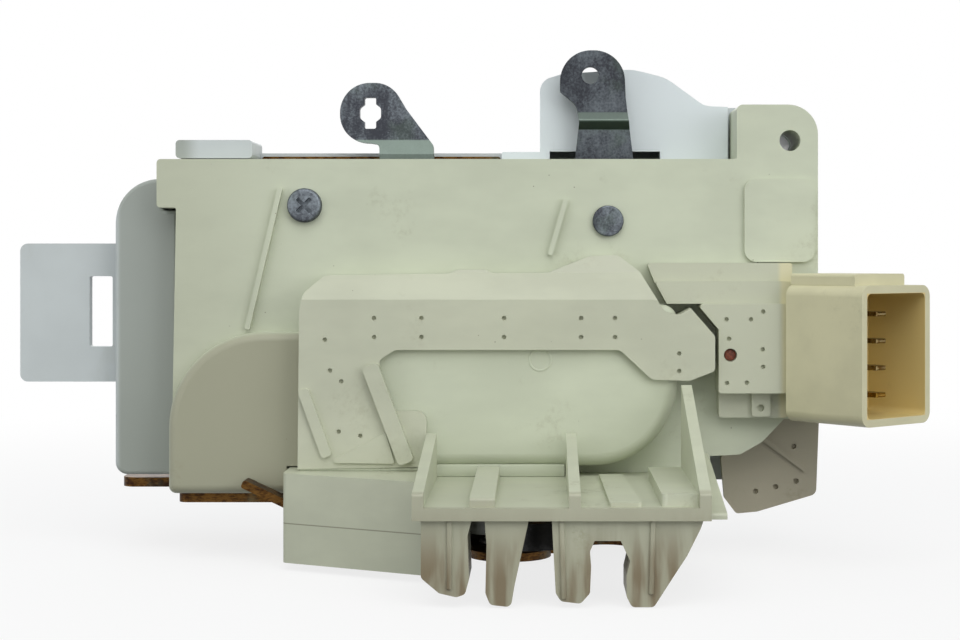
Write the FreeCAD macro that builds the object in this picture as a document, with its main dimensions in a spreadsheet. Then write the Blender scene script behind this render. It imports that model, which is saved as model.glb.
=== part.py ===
"""Door latch actuator: plastic actuator case on a steel latch, drawn in millimetres.

Drawing axes: X to the right along the case, Y from the front of the case to its back, Z up.
Drawing zero lies on the front face of the case, and every piece is then placed so that the
row's origin is on the outer face of the latch's face plate, between its three fixings.
"""
import FreeCAD
import Part
import math
import os
import re
from types import SimpleNamespace

Vector = FreeCAD.Vector

SIZES = {
    # Row origin, in drawing axes
    "origin_x": 10.0,
    "origin_y": 20.0,
    # Shared walls and clearances
    "seat_gap": 0.1,
    "wall": 2.0,
    "run_gap": 0.05,
    "side_gap": 0.4,
    # Front case
    "case_left": -60.8,
    "case_right": 67.6,
    "case_top": 32.2,
    "case_bottom": -34.4,
    "case_depth": 14.8,
    "ear_left": 51.4,
    "ear_top": 43.1,
    "ear_radius": 6.0,
    "hook_left": -64.7,
    "hook_bottom": 22.5,
    "pad_left": 52.8,
    "pad_right": 66.9,
    "pad_top": 28.3,
    "pad_bottom": 11.6,
    "pad_rise": 0.9,
    "pad_radius": 2.5,
    "bulge_rise": 3.4,
    "bulge_top": -2.3,
    "bulge_right": -35.4,
    "bulge_radius": 19.0,
    "bulge_fillet": 1.8,
    "rib_rise": 1.4,
    "rib_width": 1.0,
    "dome_left": -33.4,
    "dome_right": 39.0,
    "dome_top": 3.2,
    "dome_bottom": -28.4,
    "dome_rise": 8.0,
    "dome_corner": 16.5,
    "dome_fillet": 2.5,
    "ear_hole_x": 62.0,
    "ear_hole_z": 35.9,
    "ear_hole_radius": 2.1,
    # Rear case
    "rear_depth": 13.5,
    "rear_wall": 1.6,
    "cover_left": -74.9,
    "cover_front": 8.0,
    "cover_bottom": -31.9,
    "cover_top": 28.6,
    "cover_radius": 9.0,
    "tab_left": -96.0,
    "tab_top": 15.4,
    "tab_bottom": -13.3,
    "tab_front": 14.0,
    "tab_thickness": 2.4,
    "tab_radius": 1.6,
    "window_left": -81.6,
    "window_right": -76.8,
    "window_top": 8.6,
    "window_bottom": -6.0,
    "clip_left": -61.8,
    "clip_right": -46.3,
    "clip_top": 36.3,
    "clip_front": 4.5,
    # Steel plates
    "plate_thickness": 2.0,
    "mid_top": 33.5,
    "mid_left": -58.5,
    "mid_strip_left": -45.9,
    "mid_strip_right": 3.8,
    "back_front": 0.3,
    "back_left": -60.5,
    "back_far_left": -77.5,
    "back_step": 24.6,
    "back_rear": 38.0,
    "back_right": 38.0,
    "face_gap": 8.9,
    "face_thickness": 1.6,
    "face_left": -37.6,
    "face_right": 41.0,
    "face_front": 2.0,
    "face_rear": 43.0,
    "lobe_radius": 8.3,
    "mouth_centre": 25.5,
    "mouth_width": 11.0,
    "mouth_end": 13.0,
    "fixing_radius": 2.5,
    "fixing_collar": 4.4,
    "fixing_length": 4.5,
    # Claw and pawl
    "claw_x": 5.9,
    "claw_y": 0.0,
    "pin_radius": 4.0,
    "pin_countersink": 1.2,
    "pin_recess": 0.1,
    "pin_fit": 0.02,
    "claw_hub": 12.0,
    "claw_rim": 14.4,
    "claw_travel": 52.0,
    "rim_margin": 4.0,
    "nose_angle": 140.0,
    "claw_arm": 25.0,
    "claw_core": 3.2,
    "claw_thickness": 5.0,
    "notch_width": 10.5,
    "notch_bottom": 14.0,
    "notch_angle": -40.0,
    "coat_wall": 1.0,
    "pawl_x": 0.2,
    "pawl_y": 24.0,
    "pawl_pin": 3.0,
    # Release and lock levers
    "lever_front": 7.4,
    "lever_thickness": 2.0,
    "lock_x": 25.6,
    "lock_z": 19.8,
    "lock_pin": 2.4,
    "lock_rivet_head": 3.1,
    "release_x": -15.0,
    "release_z": 21.5,
    "release_pin": 2.5,
    # Drive
    "motor_left": -18.0,
    "motor_length": 31.0,
    "motor_radius": 9.6,
    "motor_flat": 7.4,
    "motor_y": 4.2,
    "motor_z": -16.0,
    "shaft_radius": 1.0,
    "worm_length": 12.0,
    "worm_root": 2.3,
    "worm_tip": 3.8,
    "thread_pitch": 2.513,
    "thread_width": 0.85,
    "wheel_teeth": 27.0,
    "wheel_x": 26.0,
    "wheel_width": 3.0,
    "addendum": 0.6,
    "dedendum": 0.95,
    "wheel_pin": 2.0,
    "crank_radius": 6.0,
    "crank_pin": 1.5,
    # Conductor carrier and connector
    "carrier_rise": 9.6,
    "box_right": 61.0,
    "box_top": 3.4,
    "box_bottom": -14.1,
    "box_rise": 7.6,
    "rail_top": 11.4,
    "socket_width": 20.2,
    "socket_height": 26.6,
    "socket_length": 19.0,
    "socket_depth": 14.0,
    "socket_wall": 1.5,
    "socket_turn": 50.0,
    "socket_x": 79.85,
    "socket_y": -17.5,
    "socket_z": -6.1,
    "socket_corner": 2.2,
    "blade_pitch": 5.18,
    "blade_length": 10.5,
    "blade_width": 2.8,
    "blade_thick": 0.9,
    # Latch housing
    "shelf_top": -30.4,
    "shelf_thickness": 2.2,
    "shelf_back": -0.3,
    "shelf_front": -52.0,
    "shelf_left": -10.0,
    "shelf_right": 40.4,
    "gusset_width": 2.0,
    "gusset_back_top": -21.5,
    "gusset_front_top": -28.0,
    "end_gusset_top": -12.0,
    "block_left": -37.6,
    "block_bottom": -46.3,
    "block_top": -29.1,
    "block_front_left": -13.0,
    "block_front_right": -27.5,
    "leg_depth": 12.0,
    # Small pieces
    "partition": 44.0,
    "guard_front": 12.0,
    "cover_plate_front": 9.0,
    "claw_gap": 0.7,
    "washer_radius": 7.2,
    "washer_thickness": 0.5,
    "claw_spring_radius": 5.4,
    "claw_wire": 0.6,
    "pawl_spring_radius": 4.2,
    "pawl_wire": 0.5,
    "release_spring_radius": 3.9,
    "release_wire": 0.55,
    "tongue_x": -28.0,
    "tongue_y": 8.0,
    "tongue_pin": 2.0,
    "tongue_front": -8.6,
    "tongue_width": 4.6,
    "tongue_thickness": 1.6,
    "tongue_gap": 0.3,
    "screw_x": -35.0,
    "screw_z": 22.9,
    "screw_radius": 1.55,
    "screw_head": 3.44,
    "screw_head_rise": 1.8,
    "screw_length": 20.0,
    "switch_left": 35.6,
    "switch_bottom": 1.0,
    "switch_top": 8.0,
    "switch_depth": 8.6,
    "plunger_y": 8.4,
    "plunger_width": 1.8,
    "plunger_height": 2.0,
    "plunger_fit": 0.1,
    "plunger_out": 1.5,
    "plunger_length": 3.2,
    "bump_height": 2.4,
    "bevel_z": 4.3,
    "bevel_reach": 5.2,
}

size = SimpleNamespace(**SIZES)

DOC = FreeCAD.newDocument("DoorLatchActuator")
SHEET = DOC.addObject("Spreadsheet::Sheet", "Sizes")
for row, (alias, number) in enumerate(SIZES.items(), start=1):
    SHEET.set("A%d" % row, alias)
    SHEET.set("B%d" % row, repr(number))
    SHEET.setAlias("B%d" % row, alias)
DOC.recompute()

NODES = []
FACING = {"XY": 1, "XZ": -1, "YZ": 1}


def linked(text):
    """A formula in the sheet's words, as an expression that reads the sheet."""
    return re.sub(r"[a-z][a-z0-9_]*", lambda word: "Sizes." + word.group(0), str(text))


def arc_through(start, middle, end):
    """An arc from three flat points."""
    return Part.Arc(*[Vector(x, y, 0) for x, y in (start, middle, end)])


def rounded(points):
    """A closed outline of corners (x, y) or (x, y, radius), its round corners as arcs."""
    corners = [(Vector(p[0], p[1], 0), p[2] if len(p) > 2 else 0.0) for p in points]
    count = len(corners)
    joints = []
    for index, (corner, radius) in enumerate(corners):
        before = (corners[index - 1][0] - corner).normalize()
        after = (corners[(index + 1) % count][0] - corner).normalize()
        half = before.getAngle(after) / 2
        if radius <= 0 or half > math.pi / 2 - 0.01:
            joints.append((corner, None, corner))
            continue
        reach = radius / math.tan(half)
        middle = corner + (before + after).normalize() * (radius / math.sin(half) - radius)
        joints.append((corner + before * reach, middle, corner + after * reach))
    edges = []
    for index, (start, middle, end) in enumerate(joints):
        if middle is not None:
            edges.append(Part.Arc(start, middle, end))
        following = joints[(index + 1) % count][0]
        if end.distanceToPoint(following) > 0.001:
            edges.append(Part.LineSegment(end, following))
    return edges


def box_outline(left, right, bottom, top, radius=0.0):
    """A rectangle with equal corner radii."""
    return rounded([(left, bottom, radius), (right, bottom, radius),
                    (right, top, radius), (left, top, radius)])


def round_outline(x, y, radius):
    """A full circle."""
    return [Part.Circle(Vector(x, y, 0), Vector(0, 0, 1), radius)]


def bar_outline(start, end, width):
    """A slanted bar of even width between two points."""
    a = Vector(start[0], start[1], 0)
    b = Vector(end[0], end[1], 0)
    side = (b - a).normalize()
    side = Vector(-side.y, side.x, 0) * (width / 2)
    return rounded([(p.x, p.y, width * 0.3) for p in (a + side, a - side, b - side, b + side)])


def polar(centre, radius, degrees):
    """The point at a radius and an angle round a centre."""
    angle = math.radians(degrees)
    return (centre[0] + radius * math.cos(angle), centre[1] + radius * math.sin(angle))


def new_body(name):
    """An empty body that becomes the node of that name."""
    body = DOC.addObject("PartDesign::Body", name)
    body.Label = name
    NODES.append(body)
    return body


def sketch_on(body, plane, level, outlines):
    """A sketch of closed outlines on a plane of the body, moved to a level."""
    role = plane + "_Plane"
    origin_plane = [o for o in body.Origin.OriginFeatures if o.Role == role][0]
    sketch = body.newObject("Sketcher::SketchObject", body.Name + "_sketch")
    sketch.AttachmentSupport = [(origin_plane, "")]
    sketch.MapMode = "FlatFace"
    sign = "" if FACING[plane] > 0 else "-"
    sketch.setExpression("AttachmentOffset.Base.z", "%s(%s)" % (sign, linked(level)))
    for outline in outlines:
        for edge in outline:
            sketch.addGeometry(edge, False)
    sketch.Visibility = False
    return sketch


def pad(body, plane, level, length, *outlines):
    """Material from a level along the plane's positive row axis."""
    sketch = sketch_on(body, plane, level, outlines)
    feature = body.newObject("PartDesign::Pad", body.Name + "_pad")
    feature.Profile = sketch
    feature.Reversed = FACING[plane] < 0
    feature.setExpression("Length", linked(length))
    body.Tip = feature
    DOC.recompute()
    return feature


def pocket(body, plane, level, length, *outlines):
    """A cut from a level along the plane's positive row axis, which must remove material."""
    before = body.Shape.Volume
    sketch = sketch_on(body, plane, level, outlines)
    feature = body.newObject("PartDesign::Pocket", body.Name + "_pocket")
    feature.Profile = sketch
    feature.Reversed = FACING[plane] > 0
    feature.setExpression("Length", linked(length))
    body.Tip = feature
    DOC.recompute()
    if body.Shape.Volume > before - 0.01:
        raise RuntimeError("a pocket of %s cuts nothing" % body.Label)
    return feature


def edges_where(shape, test):
    """Names of the edges whose middle point and shape pass a test."""
    names = []
    for index, edge in enumerate(shape.Edges, start=1):
        if test(edge, edge.CenterOfMass):
            names.append("Edge%d" % index)
    return names


def ease(body, kind, amount, test):
    """A Fillet or Chamfer on the edges that pass a test."""
    base = body.Tip
    names = edges_where(base.Shape, test)
    if not names:
        raise RuntimeError("no edges to ease on %s" % body.Label)
    feature = body.newObject("PartDesign::" + kind, body.Name + "_" + kind.lower())
    feature.Base = (base, names)
    feature.setExpression("Radius" if kind == "Fillet" else "Size", linked(amount))
    body.Tip = feature
    DOC.recompute()
    return feature


def at_level(edge, axis, level):
    """True when the whole edge lies at one level of an axis."""
    box = edge.BoundBox
    low = getattr(box, axis + "Min")
    high = getattr(box, axis + "Max")
    return abs(low - level) < 0.01 and abs(high - level) < 0.01


def solid_node(name, shape):
    """A node whose shape is worked out directly."""
    feature = DOC.addObject("Part::Feature", name)
    feature.Label = name
    feature.Shape = shape
    NODES.append(feature)
    return feature


def cylinder(radius, length, base, direction):
    """A round bar from a base point along a direction."""
    return Part.makeCylinder(radius, length, Vector(*base), Vector(*direction))


def prism(outline, plane, level, length):
    """A closed outline as a solid on a plane, from a level along the positive row axis."""
    edges = [e.toShape() for e in outline]
    face = Part.Face(Part.Wire(Part.__sortEdges__(edges)))
    if plane == "XZ":
        face.rotate(Vector(), Vector(1, 0, 0), 90)
        face.translate(Vector(0, level, 0))
        return face.extrude(Vector(0, length, 0))
    if plane == "YZ":
        face.rotate(Vector(), Vector(1, 1, 1), 120)
        face.translate(Vector(level, 0, 0))
        return face.extrude(Vector(length, 0, 0))
    face.translate(Vector(0, 0, level))
    return face.extrude(Vector(0, 0, length))


def coil(radius, wire, pitch, turns, base, direction):
    """A wire of eight-sided section wound as a spring, from a base point along a direction."""
    helix = Part.makeHelix(pitch, pitch * turns, radius)
    corners = [polar((radius, 0.0), wire, 22.5 + 45.0 * index) for index in range(9)]
    section = Part.makePolygon([Vector(x, 0, z) for x, z in corners])
    spring = Part.Wire(helix).makePipeShell([section], True, True)
    turn = FreeCAD.Rotation(Vector(0, 0, 1), Vector(*direction))
    spring.Placement = FreeCAD.Placement(Vector(*base), turn)
    return spring


# Levels that several pieces share
rear_front = size.case_depth + size.plate_thickness + 2 * size.seat_gap
back_top = size.case_bottom - size.seat_gap
back_bottom = back_top - size.plate_thickness
face_top = back_bottom - size.face_gap
face_bottom = face_top - size.face_thickness
claw_top = back_bottom - size.claw_gap
claw_pin = (size.claw_x, size.claw_y)
pawl_pin = (size.pawl_x, size.pawl_y)
wheel_pitch_radius = size.wheel_teeth * size.thread_pitch / (2 * math.pi)
worm_pitch_radius = (size.worm_root + size.worm_tip) / 2 + 0.05
wheel_z = size.motor_z + worm_pitch_radius + wheel_pitch_radius
wheel_tip = wheel_pitch_radius + size.addendum
wheel_root = wheel_pitch_radius - size.dedendum
motor_right = size.motor_left + size.motor_length
dome_floor = size.motor_y - size.motor_radius - size.side_gap

# Outlines of the mouldings, as corners with their radii
CARRIER_CORNERS = [
    (-35.2, -28.7), (-34.9, 2.3, 2), (-34.2, 5.6, 2), (-30.5, 9.0, 2), (-6.1, 9.3, 2), (-4.5, 10.1, 1),
    (1.1, 10.1, 1), (2.7, 9.4, 2), (13.6, 9.5, 4), (21.9, 12.8, 3), (27.4, 13.0, 2), (31.7, 9.7, 2),
    (36.1, 2.1, 2), (39.1, 1.3, 1), (41.4, 2.6), (46.1, -2.8, 1), (46.1, -9.6, 1), (41.2, -11.5, 1),
    (33.8, -11.3, 2), (27.6, -5.5, 2), (-16.2, -5.5, 2), (-19.2, -7.4, 1), (-19.5, -17.4, 0.5),
    (-10.1, -17.4, 2), (-10.1, -28.3)]
REAR_CORNERS = [
    (-60.0, -31.9, 2), (-74.9, -31.9, 2), (-74.9, 28.6, 9), (-61.8, 28.6), (-61.8, 34.3, 1),
    (12.0, 34.3), (12.0, 49.0, 3), (16.5, 50.4, 6), (31.0, 51.4, 12), (38.0, 49.6, 8), (46.0, 43.8, 4),
    (66.0, 43.8, 4), (68.2, 34.0, 3), (68.2, 26.0), (70.2, 25.0, 1), (70.2, 12.0, 1), (68.2, 11.0),
    (69.8, 8.0, 1), (69.8, -34.0, 3), (48.0, -34.0, 2), (44.0, -31.9, 1)]
CORNER_COVER_CORNERS = [
    (49.8, -36.8, 1), (52.2, -40.0, 1), (56.5, -39.6, 3), (68.6, -36.0, 1.5), (69.2, -20.3, 1),
    (61.8, -20.3), (57.0, -25.0, 1), (52.2, -27.6, 1), (49.0, -28.0, 1)]
LEGS = [
    [(-8.5, -32.0), (-8.5, -42.6, 1), (-5.4, -45.2, 1), (-2.4, -45.9, 1), (-0.9, -45.4, 1), (-0.2, -42.8),
     (-0.5, -35.4), (0.4, -32.0)],
    [(2.4, -32.0), (2.8, -36.8), (2.6, -45.2, 1), (3.4, -47.2, 1), (7.0, -47.6, 1), (7.6, -44.0),
     (9.0, -37.6), (10.2, -32.0)],
    [(14.0, -32.0), (14.7, -45.2, 1), (15.6, -46.6, 1), (19.0, -47.0, 1), (20.6, -45.2, 1), (20.8, -40.6),
     (20.6, -38.0, 1), (21.4, -36.2), (25.9, -36.2), (27.5, -39.7), (26.9, -42.3), (26.9, -45.8, 1),
     (27.8, -47.6, 1), (31.6, -47.6, 1), (35.0, -42.3), (37.3, -38.8), (39.6, -34.2), (40.4, -32.0)]]


def grown(points, distance):
    """A closed outline moved outwards by a distance, or inwards by a negative one."""
    count = len(points)
    area = sum(points[i][0] * points[(i + 1) % count][1] - points[(i + 1) % count][0] * points[i][1]
               for i in range(count))
    turn = 1.0 if area > 0 else -1.0
    result = []
    for index in range(count):
        here = Vector(points[index][0], points[index][1], 0)
        before = (here - Vector(points[index - 1][0], points[index - 1][1], 0)).normalize()
        following = points[(index + 1) % count]
        after = (Vector(following[0], following[1], 0) - here).normalize()
        normal_before = Vector(before.y, -before.x, 0) * turn
        normal_after = Vector(after.y, -after.x, 0) * turn
        share = distance / (1.0 + normal_before.dot(normal_after))
        moved = here + (normal_before + normal_after) * share
        bend = (before.x * after.y - before.y * after.x) * turn
        radius = points[index][2] if len(points[index]) > 2 else 0.0
        grow = distance if bend > 0 else -distance
        result.append((moved.x, moved.y, max(radius + grow, 0.0) if radius > 0 else 0.0))
    return result


def front_case():
    """The cream case half that carries the levers and the drive."""
    body = new_body("front_case")
    low_left = size.case_left - 1.0
    pad(body, "XZ", "0", "case_depth", rounded([
        (low_left, size.case_bottom, 1.4), (46.0, size.case_bottom, 1), (46.0, -27.2), (52.0, -26.9),
        (56.4, -24.4), (60.8, -19.8), (size.case_right, -19.8, 1),
        (size.case_right, size.ear_top, size.ear_radius), (size.ear_left, size.ear_top, 1.2),
        (size.ear_left, size.case_top, 0.4), (size.hook_left, size.case_top, 0.8),
        (size.hook_left, size.hook_bottom, 0.8), (size.case_left, size.hook_bottom, 0.4)]))
    pocket(body, "XZ", "wall", "case_depth",
           box_outline(size.case_left + size.wall, size.partition, size.case_bottom + size.wall,
                       size.case_top - size.wall, 1.0),
           box_outline(size.partition + size.wall, size.case_right - size.wall, -17.8, size.case_top - size.wall, 1.0))
    pad(body, "XZ", "-bulge_rise", "bulge_rise + wall / 2", rounded([
        (low_left, size.case_bottom, 1.4), (size.block_left - 0.6, size.case_bottom),
        (size.block_left - 0.6, size.block_top + 0.3), (size.bulge_right, size.block_top + 0.3),
        (size.bulge_right, size.bulge_top), (low_left, size.bulge_top, size.bulge_radius)]))
    ease(body, "Fillet", "bulge_fillet",
         lambda e, c: at_level(e, "Y", -size.bulge_rise) and c.x < size.bulge_right - 0.5
         and c.z > size.case_bottom + 0.5 and c.x < size.block_left - 1.0)
    dome = [(size.dome_left, size.dome_bottom), (size.dome_right, size.dome_bottom, size.dome_corner),
            (size.dome_right, size.dome_top, 3.0), (size.dome_left, size.dome_top)]
    pad(body, "XZ", "-dome_rise", "dome_rise + wall / 2", rounded(dome))
    ease(body, "Fillet", "dome_fillet",
         lambda e, c: at_level(e, "Y", -size.dome_rise)
         and (c.x > size.dome_right - 8 or (c.z < size.dome_bottom + 1 and c.x > 0)) and c.z < size.dome_top - 1)
    pocket(body, "XZ", "motor_y - motor_radius - side_gap", "motor_radius + wall", rounded(grown(dome, -size.wall)))
    pad(body, "XZ", "-pad_rise", "pad_rise + wall / 2",
        box_outline(size.pad_left, size.pad_right, size.pad_bottom, size.pad_top, size.pad_radius))
    pad(body, "XZ", "-rib_rise", "rib_rise + wall / 2",
        bar_outline((-39.8, 26.4), (-46.4, -1.8), size.rib_width))
    pad(body, "XZ", "-rib_rise", "rib_rise + wall / 2",
        bar_outline((17.2, 24.2), (14.0, 13.0), size.rib_width))
    pad(body, "XZ", "wall / 2", "lever_front - run_gap - wall / 2", round_outline(size.lock_x, size.lock_z, 5.0))
    pocket(body, "XZ", "-1", "case_depth + 2", round_outline(size.ear_hole_x, size.ear_hole_z, size.ear_hole_radius),
           round_outline(size.lock_x, size.lock_z, size.lock_pin + size.run_gap),
           round_outline(size.screw_x, size.screw_z, size.screw_radius + 0.15))
    slot_front = size.lever_front - 2.0
    slot_back = size.lever_front + size.lever_thickness + 2.6
    pocket(body, "XY", "case_top - wall - 0.5", "wall + 1",
           box_outline(-31.0, -3.5, slot_front, slot_back), box_outline(13.5, 37.0, slot_front - 2.0, slot_back))
    return body


def rear_case():
    """The white case half behind, with the cover at the left, the tab and the guard at the top."""
    body = new_body("rear_case")
    pad(body, "XZ", "case_depth + plate_thickness + 2 * seat_gap", "rear_depth", rounded(REAR_CORNERS))
    cover = [(-62.2, size.cover_bottom, 1), (size.cover_left, size.cover_bottom, 2.5),
             (size.cover_left, size.cover_top, size.cover_radius), (-65.1, size.cover_top, 0.8),
             (-65.1, size.hook_bottom - 0.4, 0.4), (-62.2, size.hook_bottom - 0.4)]
    pad(body, "XZ", "cover_front", "case_depth + plate_thickness + 1 - cover_front", rounded(cover))
    ease(body, "Fillet", "0.8", lambda e, c: at_level(e, "Y", size.cover_front) and c.x < -63.0)
    pad(body, "XZ", "guard_front", "case_depth + plate_thickness + 1 - guard_front",
        rounded([(4.1, 32.7), (4.1, 34.3, 0.4), (12.0, 34.3), (12.0, 49.0, 3), (16.5, 50.4, 6), (31.0, 51.4, 12),
                 (38.0, 49.6, 8), (46.0, 43.8, 4), (50.8, 43.6), (50.8, 32.7)]))
    pad(body, "XZ", "clip_front", "case_depth + plate_thickness + 1 - clip_front",
        box_outline(size.clip_left, size.clip_right, size.case_top + 0.4, size.clip_top, 0.8))
    pad(body, "XZ", "tab_front", "tab_thickness",
        box_outline(size.tab_left, size.cover_left + 1.0, size.tab_bottom, size.tab_top, size.tab_radius))
    inner = [(-73.0, -30.0, 1), (-73.0, 26.8, 7), (-60.2, 26.8), (-60.2, 32.5, 1), (13.7, 32.5), (13.7, 47.6, 2),
             (16.8, 48.7, 5), (31.0, 49.7, 11), (37.4, 48.0, 7), (45.4, 42.1, 4), (48.5, 42.1), (48.5, 33.0),
             (42.3, 30.0), (42.3, -30.0, 1)]
    pocket(body, "XZ", "case_depth + plate_thickness + 2 * seat_gap", "rear_depth - rear_wall", rounded(inner))
    pocket(body, "XZ", "cover_front + rear_wall", "case_depth + plate_thickness + 2 - cover_front",
           rounded([(-63.8, -30.0), (-73.0, -30.0, 1), (-73.0, 26.8, 6), (-66.7, 26.8), (-66.7, 20.5), (-63.8, 20.5)]))
    pocket(body, "XZ", "guard_front + rear_wall", "case_depth + plate_thickness + 2 - guard_front",
           rounded([(13.7, 34.3), (13.7, 47.6, 2), (16.8, 48.7, 5), (31.0, 49.7, 11), (37.4, 48.0, 7),
                    (45.4, 42.1, 4), (48.5, 42.1), (48.5, 34.3)]))
    pocket(body, "XZ", "lever_front - 1", "rear_depth",
           box_outline(14.0, 36.8, 32.0, 34.4))
    pocket(body, "XZ", "tab_front - 1", "tab_thickness + 2",
           box_outline(size.window_left, size.window_right, size.window_bottom, size.window_top, 0.4))
    pad(body, "XZ", "case_depth + plate_thickness + 2 * seat_gap", "rear_depth - rear_wall / 2",
        round_outline(size.screw_x, size.screw_z, size.screw_radius + 1.9))
    pocket(body, "XZ", "case_depth", "screw_length - case_depth + 0.5",
           round_outline(size.screw_x, size.screw_z, size.screw_radius + 0.02))
    pocket(body, "XZ", "-1", "case_depth + rear_depth + 6",
           round_outline(size.ear_hole_x, size.ear_hole_z, size.ear_hole_radius))
    return body


def corner_cover():
    """The ribbed cream cover behind the connector, at the lower right."""
    body = new_body("corner_cover")
    pad(body, "XZ", "cover_plate_front", "wall", rounded(CORNER_COVER_CORNERS))
    pad(body, "XZ", "cover_plate_front + wall / 2", "case_depth + plate_thickness + seat_gap - cover_plate_front - wall / 2", rounded(
        [(53.0, -28.4), (57.6, -25.8), (62.2, -21.2), (68.8, -21.2), (68.4, -30.0), (54.0, -31.0)]))
    pad(body, "XZ", "cover_plate_front - 0.8", "wall", bar_outline((57.8, -24.7), (66.6, -31.2), 0.9))
    pocket(body, "XZ", "cover_plate_front - 1", "wall / 2 + 1", *[
        round_outline(x, z, 0.55) for x, z in ((64.0, -26.2), (64.5, -33.3), (60.3, -34.5), (56.2, -35.4))])
    return body


def steel_plates():
    """The upright plate in the case and the two flat plates of the latch."""
    body = new_body("mid_plate")
    pad(body, "XZ", "case_depth + seat_gap", "plate_thickness", rounded([
        (size.mid_left, size.case_bottom), (size.partition - 2.0, size.case_bottom), (size.partition - 2.0, 29.0, 2),
        (size.mid_strip_right, 29.0), (size.mid_strip_right, size.mid_top, 0.6),
        (size.mid_strip_left, size.mid_top, 0.6), (size.mid_strip_left, 29.0), (size.mid_left, 29.0, 3)]))
    pocket(body, "XZ", "case_depth", "plate_thickness + 1",
           round_outline(size.screw_x, size.screw_z, size.screw_radius + 0.3),
           round_outline(size.lock_x, size.lock_z, size.lock_pin + size.pin_fit),
           round_outline(size.release_x, size.release_z, size.release_pin + size.pin_fit),
           box_outline(-20.0, 16.0, -9.0, 9.0, 4.0))
    body = new_body("back_plate")
    pad(body, "XY", "case_bottom - seat_gap - plate_thickness", "plate_thickness", rounded([
        (size.back_left, size.back_front, 2), (size.claw_x - 8.0, size.back_front), (size.claw_x - 8.0, -7.5, 5),
        (size.claw_x + 8.0, -7.5, 5), (size.claw_x + 8.0, size.back_front), (size.back_right, size.back_front, 1),
        (size.back_right, size.back_rear, 4), (size.back_far_left, size.back_rear, 3),
        (size.back_far_left, size.back_step, 3), (size.back_left, size.back_step, 1)]))
    pocket(body, "XY", "case_bottom - plate_thickness - 1", "plate_thickness + 2",
           round_outline(size.claw_x, size.claw_y, size.pin_radius + size.pin_fit),
           round_outline(size.pawl_x, size.pawl_y, size.pawl_pin + size.pin_fit),
           round_outline(size.tongue_x, size.tongue_y, size.tongue_pin + size.pin_fit))
    body = new_body("face_plate")
    level = "case_bottom - seat_gap - plate_thickness - face_gap - face_thickness"
    half = size.mouth_width / 2
    lobe = size.lobe_radius
    pad(body, "XY", level, "face_thickness", rounded([
        (size.face_left, size.face_front, 3), (size.claw_x - lobe, size.face_front), (size.claw_x - lobe, -lobe, lobe - 0.3),
        (size.claw_x + lobe, -lobe, lobe - 0.3), (size.claw_x + lobe, size.face_front),
        (size.mouth_centre - half, size.face_front, 1), (size.mouth_centre - half, size.mouth_end, half - 0.1),
        (size.mouth_centre + half, size.mouth_end, half - 0.1), (size.mouth_centre + half, size.face_front, 1),
        (size.face_right, size.face_front, 3), (size.face_right, size.face_rear, 5),
        (size.face_left, size.face_rear, 5)]))
    collars = [round_outline(x, y, size.fixing_collar) for x, y in FIXINGS]
    pad(body, "XY", level + " + face_thickness / 2", "fixing_length - face_thickness / 2", *collars)
    holes = [round_outline(x, y, size.fixing_radius) for x, y in FIXINGS]
    pocket(body, "XY", level + " - 1", "fixing_length + 2",
           round_outline(size.claw_x, size.claw_y, size.pin_radius + size.pin_fit),
           round_outline(size.pawl_x, size.pawl_y, size.pawl_pin + size.pin_fit), *holes)
    ease(body, "Chamfer", "pin_countersink", lambda e, c: at_level(e, "Z", face_bottom)
         and min(math.dist((c.x, c.y), claw_pin), math.dist((c.x, c.y), pawl_pin)) < 0.1)


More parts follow.
